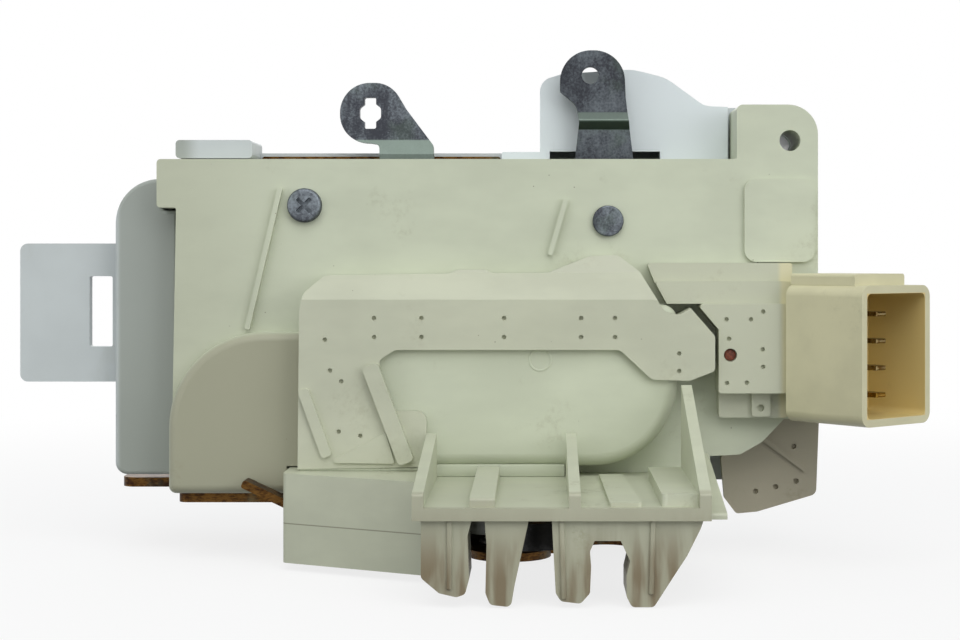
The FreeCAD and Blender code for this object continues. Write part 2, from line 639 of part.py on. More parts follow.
def latch_mechanism():
    """Claw, pawl, their pins and springs, the tongue lever and the mouth's bumper."""
    body = new_body("claw")
    core_level = claw_top - (size.claw_thickness + size.claw_core) / 2
    core_text = "case_bottom - seat_gap - plate_thickness - claw_gap - (claw_thickness + claw_core) / 2"
    pad(body, "XY", core_text, "claw_core", claw_outline(size.claw_arm - size.coat_wall))
    pocket(body, "XY", core_text + " - 1", "claw_core + 2", notch_outline(size.coat_wall),
           round_outline(size.claw_x, size.claw_y, size.pin_radius + size.run_gap))
    core = body.Shape
    coat_bottom = claw_top - size.claw_thickness
    arms = prism(arm_outline(), "XY", coat_bottom, size.claw_thickness)
    notch = prism(notch_outline(0.0), "XY", coat_bottom - 1, size.claw_thickness + 2)
    solid_node("claw_coat", arms.cut(notch).cut(core))
    body = new_body("pawl")
    nose = polar(claw_pin, size.claw_rim + size.side_gap, size.nose_angle)
    out = polar((0.0, 0.0), 1.0, size.nose_angle)
    pad(body, "XY", core_text, "claw_core", rounded([
        (nose[0], nose[1], 0.4), (nose[0] + 6.0 * out[0], nose[1] + 6.0 * out[1], 1.5),
        (size.pawl_x + 6.0 * out[0], size.pawl_y + 6.0 * out[1], 4.0),
        (size.pawl_x - 2.0, size.pawl_y + 7.0, 4.0), (size.pawl_x + 6.5, size.pawl_y + 4.5, 4.0),
        (size.pawl_x + 5.0, size.pawl_y - 3.0, 2.0)]))
    pocket(body, "XY", core_text + " - 1", "claw_core + 2",
           round_outline(size.pawl_x, size.pawl_y, size.pawl_pin + size.run_gap))
    foot = face_bottom + size.pin_recess
    head = size.pin_countersink - size.pin_recess
    for name, centre, radius in (("claw_pin", claw_pin, size.pin_radius), ("pawl_pin", pawl_pin, size.pawl_pin)):
        shank = cylinder(radius, back_top - foot, (*centre, foot), (0, 0, 1))
        cone = Part.makeCone(radius + head, radius, head, Vector(*centre, foot), Vector(0, 0, 1))
        solid_node(name, shank.fuse(cone).removeSplitter())
    washer = cylinder(size.washer_radius, size.washer_thickness, (*claw_pin, claw_top + size.seat_gap), (0, 0, 1))
    solid_node("claw_washer", washer.cut(cylinder(size.pin_radius + size.run_gap, 2.0, (*claw_pin, claw_top), (0, 0, 1))))
    solid_node("claw_spring", coil(size.claw_spring_radius, size.claw_wire, 1.3, 1.25,
                                   (*claw_pin, face_top + size.claw_wire + size.seat_gap), (0, 0, 1)))
    solid_node("pawl_spring", coil(size.pawl_spring_radius, size.pawl_wire, 1.1, 2.2,
                                   (*pawl_pin, face_top + size.pawl_wire + size.seat_gap), (0, 0, 1)))
    body = new_body("release_tongue")
    pad(body, "XZ", "tongue_front", "tongue_width", rounded([
        (-45.9, -30.9, 0.5), (-37.4, -34.9, 1.5), (-36.4, tongue_top), (size.tongue_x - 1.0, tongue_top),
        (size.tongue_x - 1.0, tongue_top - size.tongue_thickness), (-37.0, tongue_top - size.tongue_thickness, 1.0),
        (-38.0, -36.4, 1.0), (-46.5, -32.4, 0.5)]))
    pad(body, "XY", "case_bottom - seat_gap - plate_thickness - tongue_gap - tongue_thickness", "tongue_thickness", rounded([
        (size.tongue_x - 5.0, size.tongue_front, 1), (size.tongue_x - 5.0, size.tongue_y + 5.0, 4),
        (size.tongue_x + 5.0, size.tongue_y + 5.0, 4), (size.tongue_x + 5.0, size.tongue_front, 1)]))
    pocket(body, "XY", "case_bottom - plate_thickness - 6", "6",
           round_outline(size.tongue_x, size.tongue_y, size.tongue_pin + size.run_gap))
    base = tongue_top - size.tongue_thickness
    shank = cylinder(size.tongue_pin, back_top - base + 0.4, (size.tongue_x, size.tongue_y, base - 0.4), (0, 0, 1))
    cap = cylinder(size.tongue_pin + 1.6, 0.8, (size.tongue_x, size.tongue_y, base - 0.9), (0, 0, 1))
    solid_node("tongue_pin", shank.fuse(cap).removeSplitter())
    body = new_body("bump_stop")
    half = size.mouth_width / 2
    pad(body, "XY", "case_bottom - plate_thickness - face_gap + 0.1", "bump_height", rounded([
        (size.mouth_centre - half, size.mouth_end + 0.8, 2), (size.mouth_centre + half, size.mouth_end + 0.8, 2),
        (size.mouth_centre + half, size.mouth_end + 6.0, 1), (size.mouth_centre - half, size.mouth_end + 6.0, 1)]))


def claw_outline(arm):
    """Outline of the claw: both arms, the plain hub, and the raised rim that the pawl rides on."""
    rim_start = size.nose_angle - size.claw_travel - size.rim_margin
    rim_end = size.nose_angle + 2 * size.rim_margin
    return stepped_disc(claw_pin, [(arm, -88.0, 8.0), (size.claw_hub, 8.0, rim_start),
                                   (size.claw_rim, rim_start, rim_end), (size.claw_hub, rim_end, 272.0)])


def arm_outline():
    """Outline of the plastic coat over the claw's two arms."""
    inner = size.notch_bottom - 2.2
    a = [polar(claw_pin, size.claw_arm, d) for d in (-90.0, -40.0, 10.0)]
    b = [polar(claw_pin, inner, d) for d in (10.0, -40.0, -90.0)]
    return [arc_through(a[0], a[1], a[2]), segment(a[2], b[0]), arc_through(b[0], b[1], b[2]), segment(b[2], a[0])]


def segment(start, end):
    """A straight edge between two flat points."""
    return Part.LineSegment(Vector(start[0], start[1], 0), Vector(end[0], end[1], 0))


def stepped_disc(centre, steps):
    """A closed outline of arcs at several radii round one centre, joined by radial edges."""
    edges = []
    for index, (radius, start, end) in enumerate(steps):
        points = [polar(centre, radius, d) for d in (start, (start + end) / 2, end)]
        edges.append(arc_through(*points))
        following = steps[(index + 1) % len(steps)]
        edges.append(segment(points[2], polar(centre, following[0], following[1])))
    return edges


def notch_outline(extra):
    """The claw's notch for the striker, wider by an extra on each side."""
    half = size.notch_width / 2 + extra
    start = size.notch_bottom - extra
    angle = math.radians(size.notch_angle)
    along = (math.cos(angle), math.sin(angle))

    def at(u, v):
        return (claw_pin[0] + u * along[0] - v * along[1], claw_pin[1] + u * along[1] + v * along[0])

    round_start = half - 0.2
    return rounded([at(start, -half) + (round_start,), at(35.0, -half), at(35.0, half), at(start, half) + (round_start,)])


def lever(name, profile, outline, holes, left, width):
    """A bent sheet lever: a side profile as wide as the lever, cut back to its front outline."""
    body = new_body(name)
    pad(body, "YZ", left, width, profile)
    low = min(p[1] for p in outline) - 20
    high = max(p[1] for p in outline) + 20
    frame = box_outline(min(p[0] for p in outline) - 20, max(p[0] for p in outline) + 20, low, high)
    pocket(body, "XZ", "lever_front - 6", "14", frame, rounded(outline))
    if holes:
        pocket(body, "XZ", "lever_front - 6", "14", *holes)
    return body


def levers():
    """The two silver levers that stand out of the case, with the pins that they turn on."""
    front = size.lever_front
    back = front + size.lever_thickness
    eye = (-22.8, 42.1)
    slot = rounded([(eye[0] - 1.2, eye[1] - 3.2, 0.4), (eye[0] + 1.2, eye[1] - 3.2, 0.4),
                    (eye[0] + 1.2, eye[1] - 1.8), (eye[0] + 2.2, eye[1] - 1.0, 0.8), (eye[0] + 2.2, eye[1] + 1.0, 0.8),
                    (eye[0] + 1.2, eye[1] + 1.8), (eye[0] + 1.2, eye[1] + 3.2, 0.4), (eye[0] - 1.2, eye[1] + 3.2, 0.4),
                    (eye[0] - 1.2, eye[1] + 1.8), (eye[0] - 2.2, eye[1] + 1.0, 0.8), (eye[0] - 2.2, eye[1] - 1.0, 0.8),
                    (eye[0] - 1.2, eye[1] - 1.8)])
    bend_low, bend_high, bend_out = 33.6, 36.6, 1.6
    lever("release_lever",
          rounded([(front, 5.0), (front, bend_low), (front + bend_out, bend_high), (front + bend_out, 52.0),
                   (back + bend_out, 52.0), (back + bend_out, bend_high), (back, bend_low), (back, 5.0)]),
          [(-29.0, 42.1, 6.1), (-29.0, 48.3, 6.1), (-18.6, 48.3, 5.6), (-15.5, 43.0, 6), (-9.8, 35.4, 2), (-9.6, 31.0),
           (-8.6, size.release_z, 6), (-9.0, 15.0, 6), (-21.0, 15.0, 6), (-21.6, size.release_z, 6),
           (-20.6, 31.0), (-20.9, 35.6, 1), (-22.8, 35.9, 1), (-29.0, 36.2, 5.8)],
          [slot, round_outline(size.release_x, size.release_z, size.release_pin + size.run_gap)], "-32", "26")
    crank_z = wheel_z + size.crank_radius
    half = size.crank_pin + 0.7
    fork = rounded([(size.wheel_x - half, crank_z - 6.0), (size.wheel_x + half, crank_z - 6.0),
                    (size.wheel_x + half, crank_z + 3.0, half - 0.1), (size.wheel_x - half, crank_z + 3.0, half - 0.1)])
    lever("lock_lever",
          rounded([(front, -8.0), (front, 38.6), (front - 1.7, 40.4, 0.4), (front, 42.3), (front, 58.0),
                   (back, 58.0), (back, 42.3), (back - 1.7, 40.4, 0.4), (back, 38.6), (back, -8.0)]),
          [(16.1, 48.6, 6.3), (16.1, 54.8, 6.3), (29.1, 54.8, 6.3), (29.5, 45.0, 8), (30.2, 39.4, 3),
           (31.0, 32.9, 3), (32.0, 17.0, 5), (size.wheel_x + 4.6, 9.0, 3), (size.wheel_x + 4.6, crank_z - 3.6, 1),
           (size.wheel_x - 4.6, crank_z - 3.6, 1), (size.wheel_x - 4.6, 9.0, 3), (19.0, 17.0, 5),
           (19.2, 32.9, 3), (20.0, 40.0, 4), (19.5, 43.6, 3), (16.1, 46.4, 0.8)],
          [round_outline(22.3, 49.7, 1.78), fork,
           round_outline(size.lock_x, size.lock_z, size.lock_pin + size.run_gap)], "10", "30")
    mid_back = size.case_depth + size.seat_gap + size.plate_thickness
    rivet = cylinder(size.lock_pin, mid_back + 0.1, (size.lock_x, -0.1, size.lock_z), (0, 1, 0))
    head = cylinder(size.lock_rivet_head, 1.0, (size.lock_x, -1.1, size.lock_z), (0, 1, 0))
    head = head.makeFillet(0.35, [e for e in head.Edges if e.BoundBox.YMax < -0.8])
    tail = cylinder(size.lock_pin + 1.0, 0.8, (size.lock_x, mid_back, size.lock_z), (0, 1, 0))
    solid_node("lock_rivet", rivet.fuse(head).fuse(tail).removeSplitter())
    start = front - 1.2
    stud = cylinder(size.release_pin, mid_back - start, (size.release_x, start, size.release_z), (0, 1, 0))
    head = cylinder(size.release_pin + 1.8, 1.1, (size.release_x, start, size.release_z), (0, 1, 0))
    tail = cylinder(size.release_pin + 1.0, 0.8, (size.release_x, mid_back, size.release_z), (0, 1, 0))
    solid_node("release_pin", stud.fuse(head).fuse(tail).removeSplitter())
    solid_node("release_spring", coil(size.release_spring_radius, size.release_wire, 1.2, 3.1,
                                      (size.release_x, back + 0.9, size.release_z), (0, 1, 0)))


def cover_screw():
    """The cross-recess screw that holds the case together."""
    body = new_body("cover_screw")
    pad(body, "XZ", "-screw_head_rise", "screw_head_rise", round_outline(size.screw_x, size.screw_z, size.screw_head))
    ease(body, "Fillet", "0.7", lambda e, c: at_level(e, "Y", -size.screw_head_rise))
    pad(body, "XZ", "-0.2", "screw_length", round_outline(size.screw_x, size.screw_z, size.screw_radius))
    reach = size.screw_head * 0.55
    arms = []
    for angle in (45.0, 135.0):
        a = polar((size.screw_x, size.screw_z), reach, angle)
        b = polar((size.screw_x, size.screw_z), reach, angle + 180.0)
        arms.append(bar_outline(a, b, 0.8))
    pocket(body, "XZ", "-screw_head_rise - 0.1", "1.3", arms[0])
    pocket(body, "XZ", "-screw_head_rise - 0.1", "1.3", arms[1])


def drive():
    """Motor, worm and worm wheel that throw the lock lever."""
    can = cylinder(size.motor_radius, size.motor_length, (size.motor_left, size.motor_y, size.motor_z), (1, 0, 0))
    flats = Part.makeBox(size.motor_length, 4 * size.motor_radius, 2 * size.motor_flat,
                         Vector(size.motor_left, size.motor_y - 2 * size.motor_radius, size.motor_z - size.motor_flat))
    can = can.common(flats)
    nose = cylinder(3.0, 1.5, (motor_right, size.motor_y, size.motor_z), (1, 0, 0))
    bore = cylinder(size.shaft_radius + size.run_gap, 9.5, (motor_right - 8.0, size.motor_y, size.motor_z), (1, 0, 0))
    solid_node("motor", can.fuse(nose).cut(bore).removeSplitter())
    worm_left = size.wheel_x - size.worm_length / 2
    solid_node("motor_shaft", cylinder(size.shaft_radius, worm_left + size.worm_length + 2.0 - (motor_right - 7.5),
                                       (motor_right - 7.5, size.motor_y, size.motor_z), (1, 0, 0)))
    root = Part.makeCylinder(size.worm_root, size.worm_length)
    inner = size.worm_root - 0.2
    base = size.thread_width * 0.95
    tip = size.thread_width * 0.45
    first = size.worm_length / 2 - 2 * size.thread_pitch
    helix = Part.makeHelix(size.thread_pitch, 4 * size.thread_pitch, inner)
    section = Part.makePolygon([Vector(inner, 0, -base), Vector(size.worm_tip, 0, -tip), Vector(size.worm_tip, 0, tip),
                                Vector(inner, 0, base), Vector(inner, 0, -base)])
    thread = Part.Wire(helix).makePipeShell([section], True, True)
    thread.translate(Vector(0, 0, first))
    worm = root.fuse(thread).cut(Part.makeCylinder(size.shaft_radius + 0.01, size.worm_length))
    worm.rotate(Vector(), Vector(0, 1, 0), 90)
    worm.translate(Vector(worm_left, size.motor_y, size.motor_z))
    solid_node("worm", worm)
    teeth = int(size.wheel_teeth)
    points = []
    for index in range(teeth):
        middle = -90.0 + index * 360.0 / teeth
        half_root = math.degrees(size.thread_pitch * 0.27 / wheel_root)
        half_tip = math.degrees(size.thread_pitch * 0.12 / wheel_tip)
        centre = (size.wheel_x, wheel_z)
        points += [polar(centre, wheel_root, middle - half_root), polar(centre, wheel_tip, middle - half_tip),
                   polar(centre, wheel_tip, middle + half_tip), polar(centre, wheel_root, middle + half_root)]
    body = new_body("worm_wheel")
    pad(body, "XZ", "motor_y - wheel_width / 2", "wheel_width", rounded(points))
    pad(body, "XZ", "motor_y", "lever_front + lever_thickness + 0.4 - motor_y",
        round_outline(size.wheel_x, wheel_z + size.crank_radius, size.crank_pin))
    pocket(body, "XZ", "motor_y - wheel_width / 2 - 1", "wheel_width + 2",
           round_outline(size.wheel_x, wheel_z, size.wheel_pin + size.run_gap))
    solid_node("wheel_pin", cylinder(size.wheel_pin, size.lever_front - size.side_gap - dome_floor,
                                     (size.wheel_x, dome_floor, wheel_z), (0, 1, 0)))


def lock_switch():
    """The small switch that the lock lever's tail presses, relieved in front for the worm wheel."""
    body = new_body("lock_switch")
    pad(body, "XZ", "wall + seat_gap", "switch_depth", box_outline(
        size.switch_left, size.partition - 0.3, size.switch_bottom, size.switch_top, 0.5))
    pocket(body, "XZ", "wall", "motor_y + wheel_width / 2 + side_gap - wall",
           round_outline(size.wheel_x, wheel_z, wheel_tip + size.side_gap))
    middle = (size.switch_bottom + size.switch_top) / 2
    half_width = size.plunger_width / 2
    half_height = size.plunger_height / 2
    pocket(body, "YZ", "switch_left - 1", "plunger_length + 1.3", box_outline(
        size.plunger_y - half_width - size.plunger_fit, size.plunger_y + half_width + size.plunger_fit,
        middle - half_height - size.plunger_fit, middle + half_height + size.plunger_fit))
    body = new_body("switch_plunger")
    pad(body, "YZ", "switch_left - plunger_out", "plunger_length", box_outline(
        size.plunger_y - half_width, size.plunger_y + half_width, middle - half_height, middle + half_height, 0.3))


def conductor_carrier():
    """The pale moulding that holds the conductors, over the dome of the case."""
    body = new_body("conductor_carrier")
    pad(body, "XZ", "-carrier_rise", "carrier_rise - seat_gap", rounded(CARRIER_CORNERS))
    pocket(body, "YZ", "-40", "90", rounded([(-size.carrier_rise - 1, size.bevel_z - 1.0), (-size.carrier_rise - 1, 16.0),
                                            (-size.carrier_rise + size.bevel_reach + 2.0, 16.0),
                                            (-size.carrier_rise + size.bevel_reach, size.bevel_z + size.bevel_reach),
                                            (-size.carrier_rise, size.bevel_z)]))
    dome = [(size.dome_left, size.dome_bottom - 6), (size.dome_right, size.dome_bottom - 6),
            (size.dome_right, size.dome_top, 3.0), (size.dome_left, size.dome_top)]
    pocket(body, "XZ", "-dome_rise - seat_gap", "dome_rise + 1", rounded(grown(dome, 0.15)))
    pad(body, "XZ", "-carrier_rise - 0.9", "1.2", bar_outline((-34.1, -13.2), (-29.4, -26.2), 2.1))
    pad(body, "XZ", "-carrier_rise - 1.6", "2", bar_outline((-21.1, -8.4), (-13.9, -27.4), 3.2))
    pad(body, "XZ", "-carrier_rise - 0.6", "1", rounded([(-29.6, -27.4, 0.5), (-18.0, -21.6, 0.5), (-16.2, -27.6, 0.5)]))
    pocket(body, "XZ", "-carrier_rise - 0.1", "0.9", *[round_outline(x, z, 0.45) for x, z in CARRIER_PINS])
    return body


def connector():
    """The oblique four-way socket and the box and rails that it stands on."""
    base = DOC.addObject("PartDesign::Body", "connector_base")
    pad(base, "XZ", "-box_rise", "box_rise - seat_gap", rounded([
        (47.0, size.box_bottom, 0.6), (size.case_right - 1.0, size.box_bottom), (size.case_right - 1.0, size.box_top),
        (42.8, size.box_top, 0.6), (47.0, -1.6)]))
    pad(base, "XZ", "-box_rise + 2.2", "box_rise - 2.2 - seat_gap", rounded([
        (37.0, size.box_top), (62.0, size.box_top), (62.0, size.box_top + 4.4, 0.5), (34.6, size.box_top + 4.4, 0.5)]))
    pad(base, "XZ", "-box_rise + 4.4", "box_rise - 4.4 - seat_gap", rounded([
        (34.8, size.box_top + 4.0), (62.0, size.box_top + 4.0), (62.0, size.rail_top, 0.5), (33.2, size.rail_top, 0.5)]))
    pad(base, "XZ", "-box_rise + 3.0", "2.2", box_outline(53.8, 57.5, -18.9, size.box_bottom + 0.5, 0.6))
    pad(base, "XZ", "-box_rise + 4.0", "box_rise - 4 - seat_gap", box_outline(47.4, size.box_right, -19.2, size.box_bottom + 0.5, 0.6))
    pocket(base, "XZ", "-box_rise - 0.1", "0.9", *[round_outline(x, z, 0.45) for x, z in BOX_PINS])
    pocket(base, "XZ", "-box_rise - 0.1", "1.6", round_outline(49.3, -6.6, 1.3))
    pocket(base, "XZ", "-box_rise + 2.9", "1.2", round_outline(55.6, -17.2, 0.7))
    half_width = size.socket_width / 2
    half_height = size.socket_height / 2
    socket = DOC.addObject("PartDesign::Body", "connector_socket")
    pad(socket, "YZ", "-socket_length", "socket_length",
        box_outline(-half_width, half_width, -half_height, half_height, size.socket_corner))
    pad(socket, "YZ", "-socket_length", "socket_length - 3",
        box_outline(-half_width + 1.5, half_width - 4.0, half_height - 0.5, half_height + 2.2, 0.6))
    pocket(socket, "YZ", "-socket_depth", "socket_depth + 1",
           box_outline(-half_width + size.socket_wall, half_width - size.socket_wall,
                       -half_height + size.socket_wall, half_height - size.socket_wall, size.socket_corner - 1.0))
    socket.Placement = FreeCAD.Placement(Vector(size.socket_x, size.socket_y, size.socket_z),
                                         FreeCAD.Rotation(Vector(0, 0, 1), -size.socket_turn))
    trim = DOC.addObject("Part::Box", "case_clearance")
    trim.Length, trim.Width, trim.Height = 40.0, 30.0, 60.0
    trim.Placement.Base = Vector(size.case_right + 0.5 - 40.0, -size.seat_gap, -35.0)
    cut = DOC.addObject("Part::Cut", "connector_socket_trimmed")
    cut.Base = socket
    cut.Tool = trim
    joined = DOC.addObject("Part::Fuse", "connector_shell")
    joined.Base = base
    joined.Tool = cut
    joined.Refine = True
    joined.Label = "connector_shell"
    NODES.append(joined)
    DOC.recompute()
    turn = FreeCAD.Rotation(Vector(0, 0, 1), -size.socket_turn)
    for index in range(4):
        level = (1.5 - index) * size.blade_pitch
        low = Vector(-size.socket_depth + 0.02, -size.blade_width / 2, level - size.blade_thick / 2)
        blade = Part.makeBox(size.blade_length, size.blade_width, size.blade_thick, low)
        blade = blade.makeChamfer(0.35, [e for e in blade.Edges if e.BoundBox.XMin > low.x + size.blade_length - 0.01])
        shoulder = Part.makeBox(2.4, size.blade_width + 1.0, size.blade_thick + 0.5,
                                Vector(low.x, -size.blade_width / 2 - 0.5, level - size.blade_thick / 2 - 0.25))
        blade = blade.fuse(shoulder).removeSplitter()
        blade.Placement = FreeCAD.Placement(Vector(size.socket_x, size.socket_y, size.socket_z), turn)
        solid_node("terminal_%d" % (index + 1), blade)


def latch_housing():
    """The cream housing of the latch: shelf with its gussets, block at the left, and four legs."""
    body = new_body("latch_housing")
    pad(body, "XY", "shelf_top - shelf_thickness", "shelf_thickness",
        rounded([(size.shelf_left, size.shelf_back), (size.shelf_left, size.shelf_front, 0.8),
                 (size.shelf_right + 1.0, size.shelf_front, 0.8), (size.shelf_right + 1.0, size.shelf_back)]))
    low = size.shelf_top - size.shelf_thickness
    side = rounded([(size.shelf_front, low), (size.shelf_front, size.gusset_front_top, 0.5),
                    (-10.4, size.gusset_back_top, 0.5), (-10.4, low)])
    pad(body, "YZ", "shelf_left", "gusset_width", side)
    pad(body, "YZ", "17.0", "gusset_width", side)
    pad(body, "YZ", "shelf_right - 1", "gusset_width", rounded([
        (size.shelf_front, low), (size.shelf_front, size.gusset_front_top, 0.5),
        (-10.4, size.end_gusset_top, 0.5), (-10.4, low)]))
    pad(body, "YZ", "-0.1", "4.3", rounded([(size.shelf_front + 1.0, size.shelf_top - 0.5),
                                           (size.shelf_front + 1.0, size.shelf_top + 1.6, 0.5),
                                           (-10.4, size.shelf_top + 2.4, 0.5), (-10.4, size.shelf_top - 0.5)]))
    pad(body, "XY", "shelf_top - 0.5", "2.7", box_outline(33.0, size.shelf_right - 0.5, -50.0, -10.0, 1.0))
    pad(body, "XY", "shelf_top - 0.5", "1.3", rounded([(23.5, -10.0), (24.0, -50.5, 0.6), (29.6, -50.5, 0.6), (28.0, -10.0)]))
    pad(body, "YZ", "shelf_right + 0.5", "3.4", rounded([(-50.0, low), (-50.0, low + 1.0, 0.5), (-12.5, -25.0, 1), (-12.5, low)]))
    pad(body, "XY", "block_bottom", "block_top - block_bottom", rounded([
        (size.block_left, size.shelf_back), (size.block_left, size.block_front_left, 1.5),
        (size.shelf_left + 1.0, size.block_front_right), (size.shelf_left + 1.0, size.shelf_back)]))
    pocket(body, "XY", "block_bottom + wall", "block_top - block_bottom - 2 * wall", rounded([
        (size.block_left + size.wall, size.shelf_back + 1), (size.block_left + size.wall, size.block_front_left + 1.5),
        (size.shelf_left - 1.0, size.block_front_right + 4.2), (size.shelf_left - 1.0, size.shelf_back + 1)]))
    pocket(body, "YZ", "block_left - 1", "wall + 2", box_outline(-10.8, -3.4, tongue_top - size.tongue_thickness - 0.6, -33.2))
    ring_low = "case_bottom - plate_thickness - face_gap"
    pad(body, "XY", ring_low, "face_gap - 2 * seat_gap", rounded([
        (size.block_left, size.shelf_back - 1), (size.block_left, size.face_rear, 2),
        (size.face_right, size.face_rear, 2), (size.face_right, -6.0), (size.face_right - size.wall, -6.0),
        (size.face_right - size.wall, size.face_rear - size.wall, 1),
        (size.block_left + size.wall, size.face_rear - size.wall, 1), (size.block_left + size.wall, size.shelf_back - 1)]))
    pad(body, "XY", "case_bottom - plate_thickness - 2 * seat_gap", "shelf_top - 1 - case_bottom + plate_thickness + 2 * seat_gap", box_outline(
        size.face_right - size.wall, size.face_right, -6.0, size.shelf_back))
    for leg in LEGS:
        pad(body, "XZ", "shelf_front + 1.5", "leg_depth", rounded(leg))
    return body


FIXINGS = [(-27.0, 10.0), (-14.0, 35.0), (33.0, 33.0)]
CARRIER_PINS = [(-20.3, 0.7), (-11.1, 0.7), (5.0, 0.7), (20.0, 0.7), (26.6, 0.7), (-20.3, -3.0), (-11.1, -3.0),
                (5.0, -3.0), (20.0, -3.0), (26.6, -3.0), (-29.9, -3.5), (-28.9, -9.5), (-26.7, -11.6),
                (39.1, -6.2), (39.1, -9.6), (-27.2, -21.4), (-23.0, -22.2)]
BOX_PINS = [(48.5, 0.4), (53.3, 0.4), (55.7, 1.9), (49.0, -3.4), (55.6, -5.5), (55.7, -8.9), (48.6, -12.1), (52.5, -12.0)]
tongue_top = back_bottom - size.tongue_gap

front_case()
rear_case()
corner_cover()
steel_plates()
latch_mechanism()
levers()
cover_screw()
drive()
lock_switch()
conductor_carrier()
connector()
latch_housing()
DOC.recompute()

# Every piece is placed so that the row's origin lies on the face plate's outer face
SHIFT = Vector(-size.origin_x, -size.origin_y, -face_bottom)
for node in NODES:
    node.Placement = FreeCAD.Placement(SHIFT, FreeCAD.Rotation()).multiply(node.Placement)
DOC.recompute()

for feature in DOC.Objects:
    if "Invalid" in feature.State or "Error" in feature.State:
        raise RuntimeError("%s failed: %s" % (feature.Label, feature.State))
for node in NODES:
    if node.Shape.isNull() or not node.Shape.isValid() or not node.Shape.Solids:
        raise RuntimeError("%s has no valid solid" % node.Label)
    if len(node.Shape.Solids) != 1:
        print("note:", node.Label, "has", len(node.Shape.Solids), "solids")

os.makedirs("parts", exist_ok=True)
for node in NODES:
    node.Shape.exportStep("parts/%s.step" % node.Label)
print("wrote", len(NODES), "nodes")
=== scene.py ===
"""Looks of the door latch actuator: every piece's finish, small moulded detail, stage and camera."""
import bmesh
import bpy
import math
from bpy.props import FloatProperty, FloatVectorProperty, PointerProperty
from mathutils import Matrix, Vector


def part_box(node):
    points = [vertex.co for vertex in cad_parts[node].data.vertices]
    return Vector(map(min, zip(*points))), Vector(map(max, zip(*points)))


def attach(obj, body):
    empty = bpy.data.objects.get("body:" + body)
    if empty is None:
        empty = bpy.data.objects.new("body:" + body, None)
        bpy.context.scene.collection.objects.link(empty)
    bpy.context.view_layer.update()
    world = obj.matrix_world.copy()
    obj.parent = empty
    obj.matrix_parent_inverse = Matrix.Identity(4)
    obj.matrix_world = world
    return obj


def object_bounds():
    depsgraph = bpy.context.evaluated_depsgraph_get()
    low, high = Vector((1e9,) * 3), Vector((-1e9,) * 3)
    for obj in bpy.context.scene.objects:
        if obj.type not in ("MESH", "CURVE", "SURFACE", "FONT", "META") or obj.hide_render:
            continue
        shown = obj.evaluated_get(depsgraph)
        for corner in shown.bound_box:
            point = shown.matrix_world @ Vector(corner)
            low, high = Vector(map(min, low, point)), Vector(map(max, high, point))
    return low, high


bl_info = {
    "name": "Door latch actuator",
    "version": (1, 0, 0),
    "blender": (4, 5, 0),
    "location": "View3D > Sidebar > Latch",
    "description": "Finishes and small detail of a door latch actuator, with its stage",
    "category": "Object",
}

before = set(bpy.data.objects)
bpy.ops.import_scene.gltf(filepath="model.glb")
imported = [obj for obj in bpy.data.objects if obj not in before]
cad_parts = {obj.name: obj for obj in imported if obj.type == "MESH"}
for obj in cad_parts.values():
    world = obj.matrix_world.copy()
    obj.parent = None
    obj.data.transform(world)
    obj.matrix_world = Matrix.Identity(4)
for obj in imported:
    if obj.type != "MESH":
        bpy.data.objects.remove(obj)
cad_low, cad_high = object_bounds()

# Where the drawing of the case lies in the row's frame, in metres
DRAWING_ORIGIN = Vector((-0.010, -0.020, 0.047))
MM = 0.001


def at(x, y, z):
    """A point of the case's drawing, in millimetres, as a point of the row's frame."""
    return DRAWING_ORIGIN + Vector((x, y, z)) * MM


def colour(name, red, green, blue):
    """A colour property from the sRGB values that it is chosen by."""
    return FloatVectorProperty(
        name=name, description="Colour of the " + name.lower(), subtype="COLOR", size=3, min=0.0,
        max=1.0, default=tuple(linear(part / 255) for part in (red, green, blue)))


def linear(part):
    """An sRGB share of a colour, as light."""
    return part / 12.92 if part <= 0.04045 else ((part + 0.055) / 1.055) ** 2.4


def length(name, metres, words):
    """A length property in metres."""
    return FloatProperty(
        name=name, description=words, default=metres, min=0.0, precision=5, unit="LENGTH")


class LatchColours(bpy.types.PropertyGroup):
    """Colours of the finishes."""
    cream: colour("Cream plastic", 196, 202, 180)
    # Darker than the cream: painted shade of the recessed lower right cover
    cover: colour("Shaded lower right cover", 168, 162, 142)
    # Painted shade: the darker tone of the case's left end and of its bulge's front
    shaded_cream: colour("Painted shade on the cream plastic", 160, 160, 138)
    carrier: colour("Conductor carrier", 190, 193, 172)
    housing: colour("Latch housing", 192, 196, 174)
    socket: colour("Connector", 206, 202, 168)
    # Painted light: a warmer colour inside the socket for the glow through its thin walls
    socket_glow: colour("Painted glow inside the socket", 214, 192, 128)
    # Painted shade on the legs' feet and front faces
    painted_leg_shade: colour("Painted shade on the legs", 112, 96, 70)
    white: colour("White plastic", 198, 205, 205)
    # Paler than the white: painted light on the guard's front
    guard: colour("Painted light on the white guard", 214, 222, 224)
    shaded_white: colour("White plastic over a hollow", 152, 158, 150)
    speck: colour("Dark specks", 96, 92, 70)
    grime: colour("Rubbed-in grime", 138, 134, 104)
    zinc_dark: colour("Dark spangle of the clear zinc", 58, 60, 66)
    zinc_light: colour("Light spangle of the clear zinc", 124, 132, 138)
    # Also the painted shade under the lock lever's fold
    zinc_green: colour("Green tinge of the clear zinc", 84, 100, 86)
    # Painted highlight on the levers' bends
    zinc_bend_highlight: colour("Painted highlight on the clear zinc's bends", 104, 116, 108)
    yellow_zinc: colour("Yellow zinc", 102, 72, 32)
    yellow_dark: colour("Dark yellow zinc", 46, 24, 8)
    brass: colour("Brass", 150, 116, 46)
    brass_dark: colour("Tarnished brass", 92, 66, 22)
    tin: colour("Tinned brass", 150, 134, 96)
    steel: colour("Bright steel", 170, 172, 170)
    spring: colour("Spring steel", 92, 90, 88)
    black: colour("Black plastic", 38, 38, 40)
    rubber: colour("Black rubber", 26, 26, 27)
    mark: colour("Red dot in the box", 122, 58, 34)


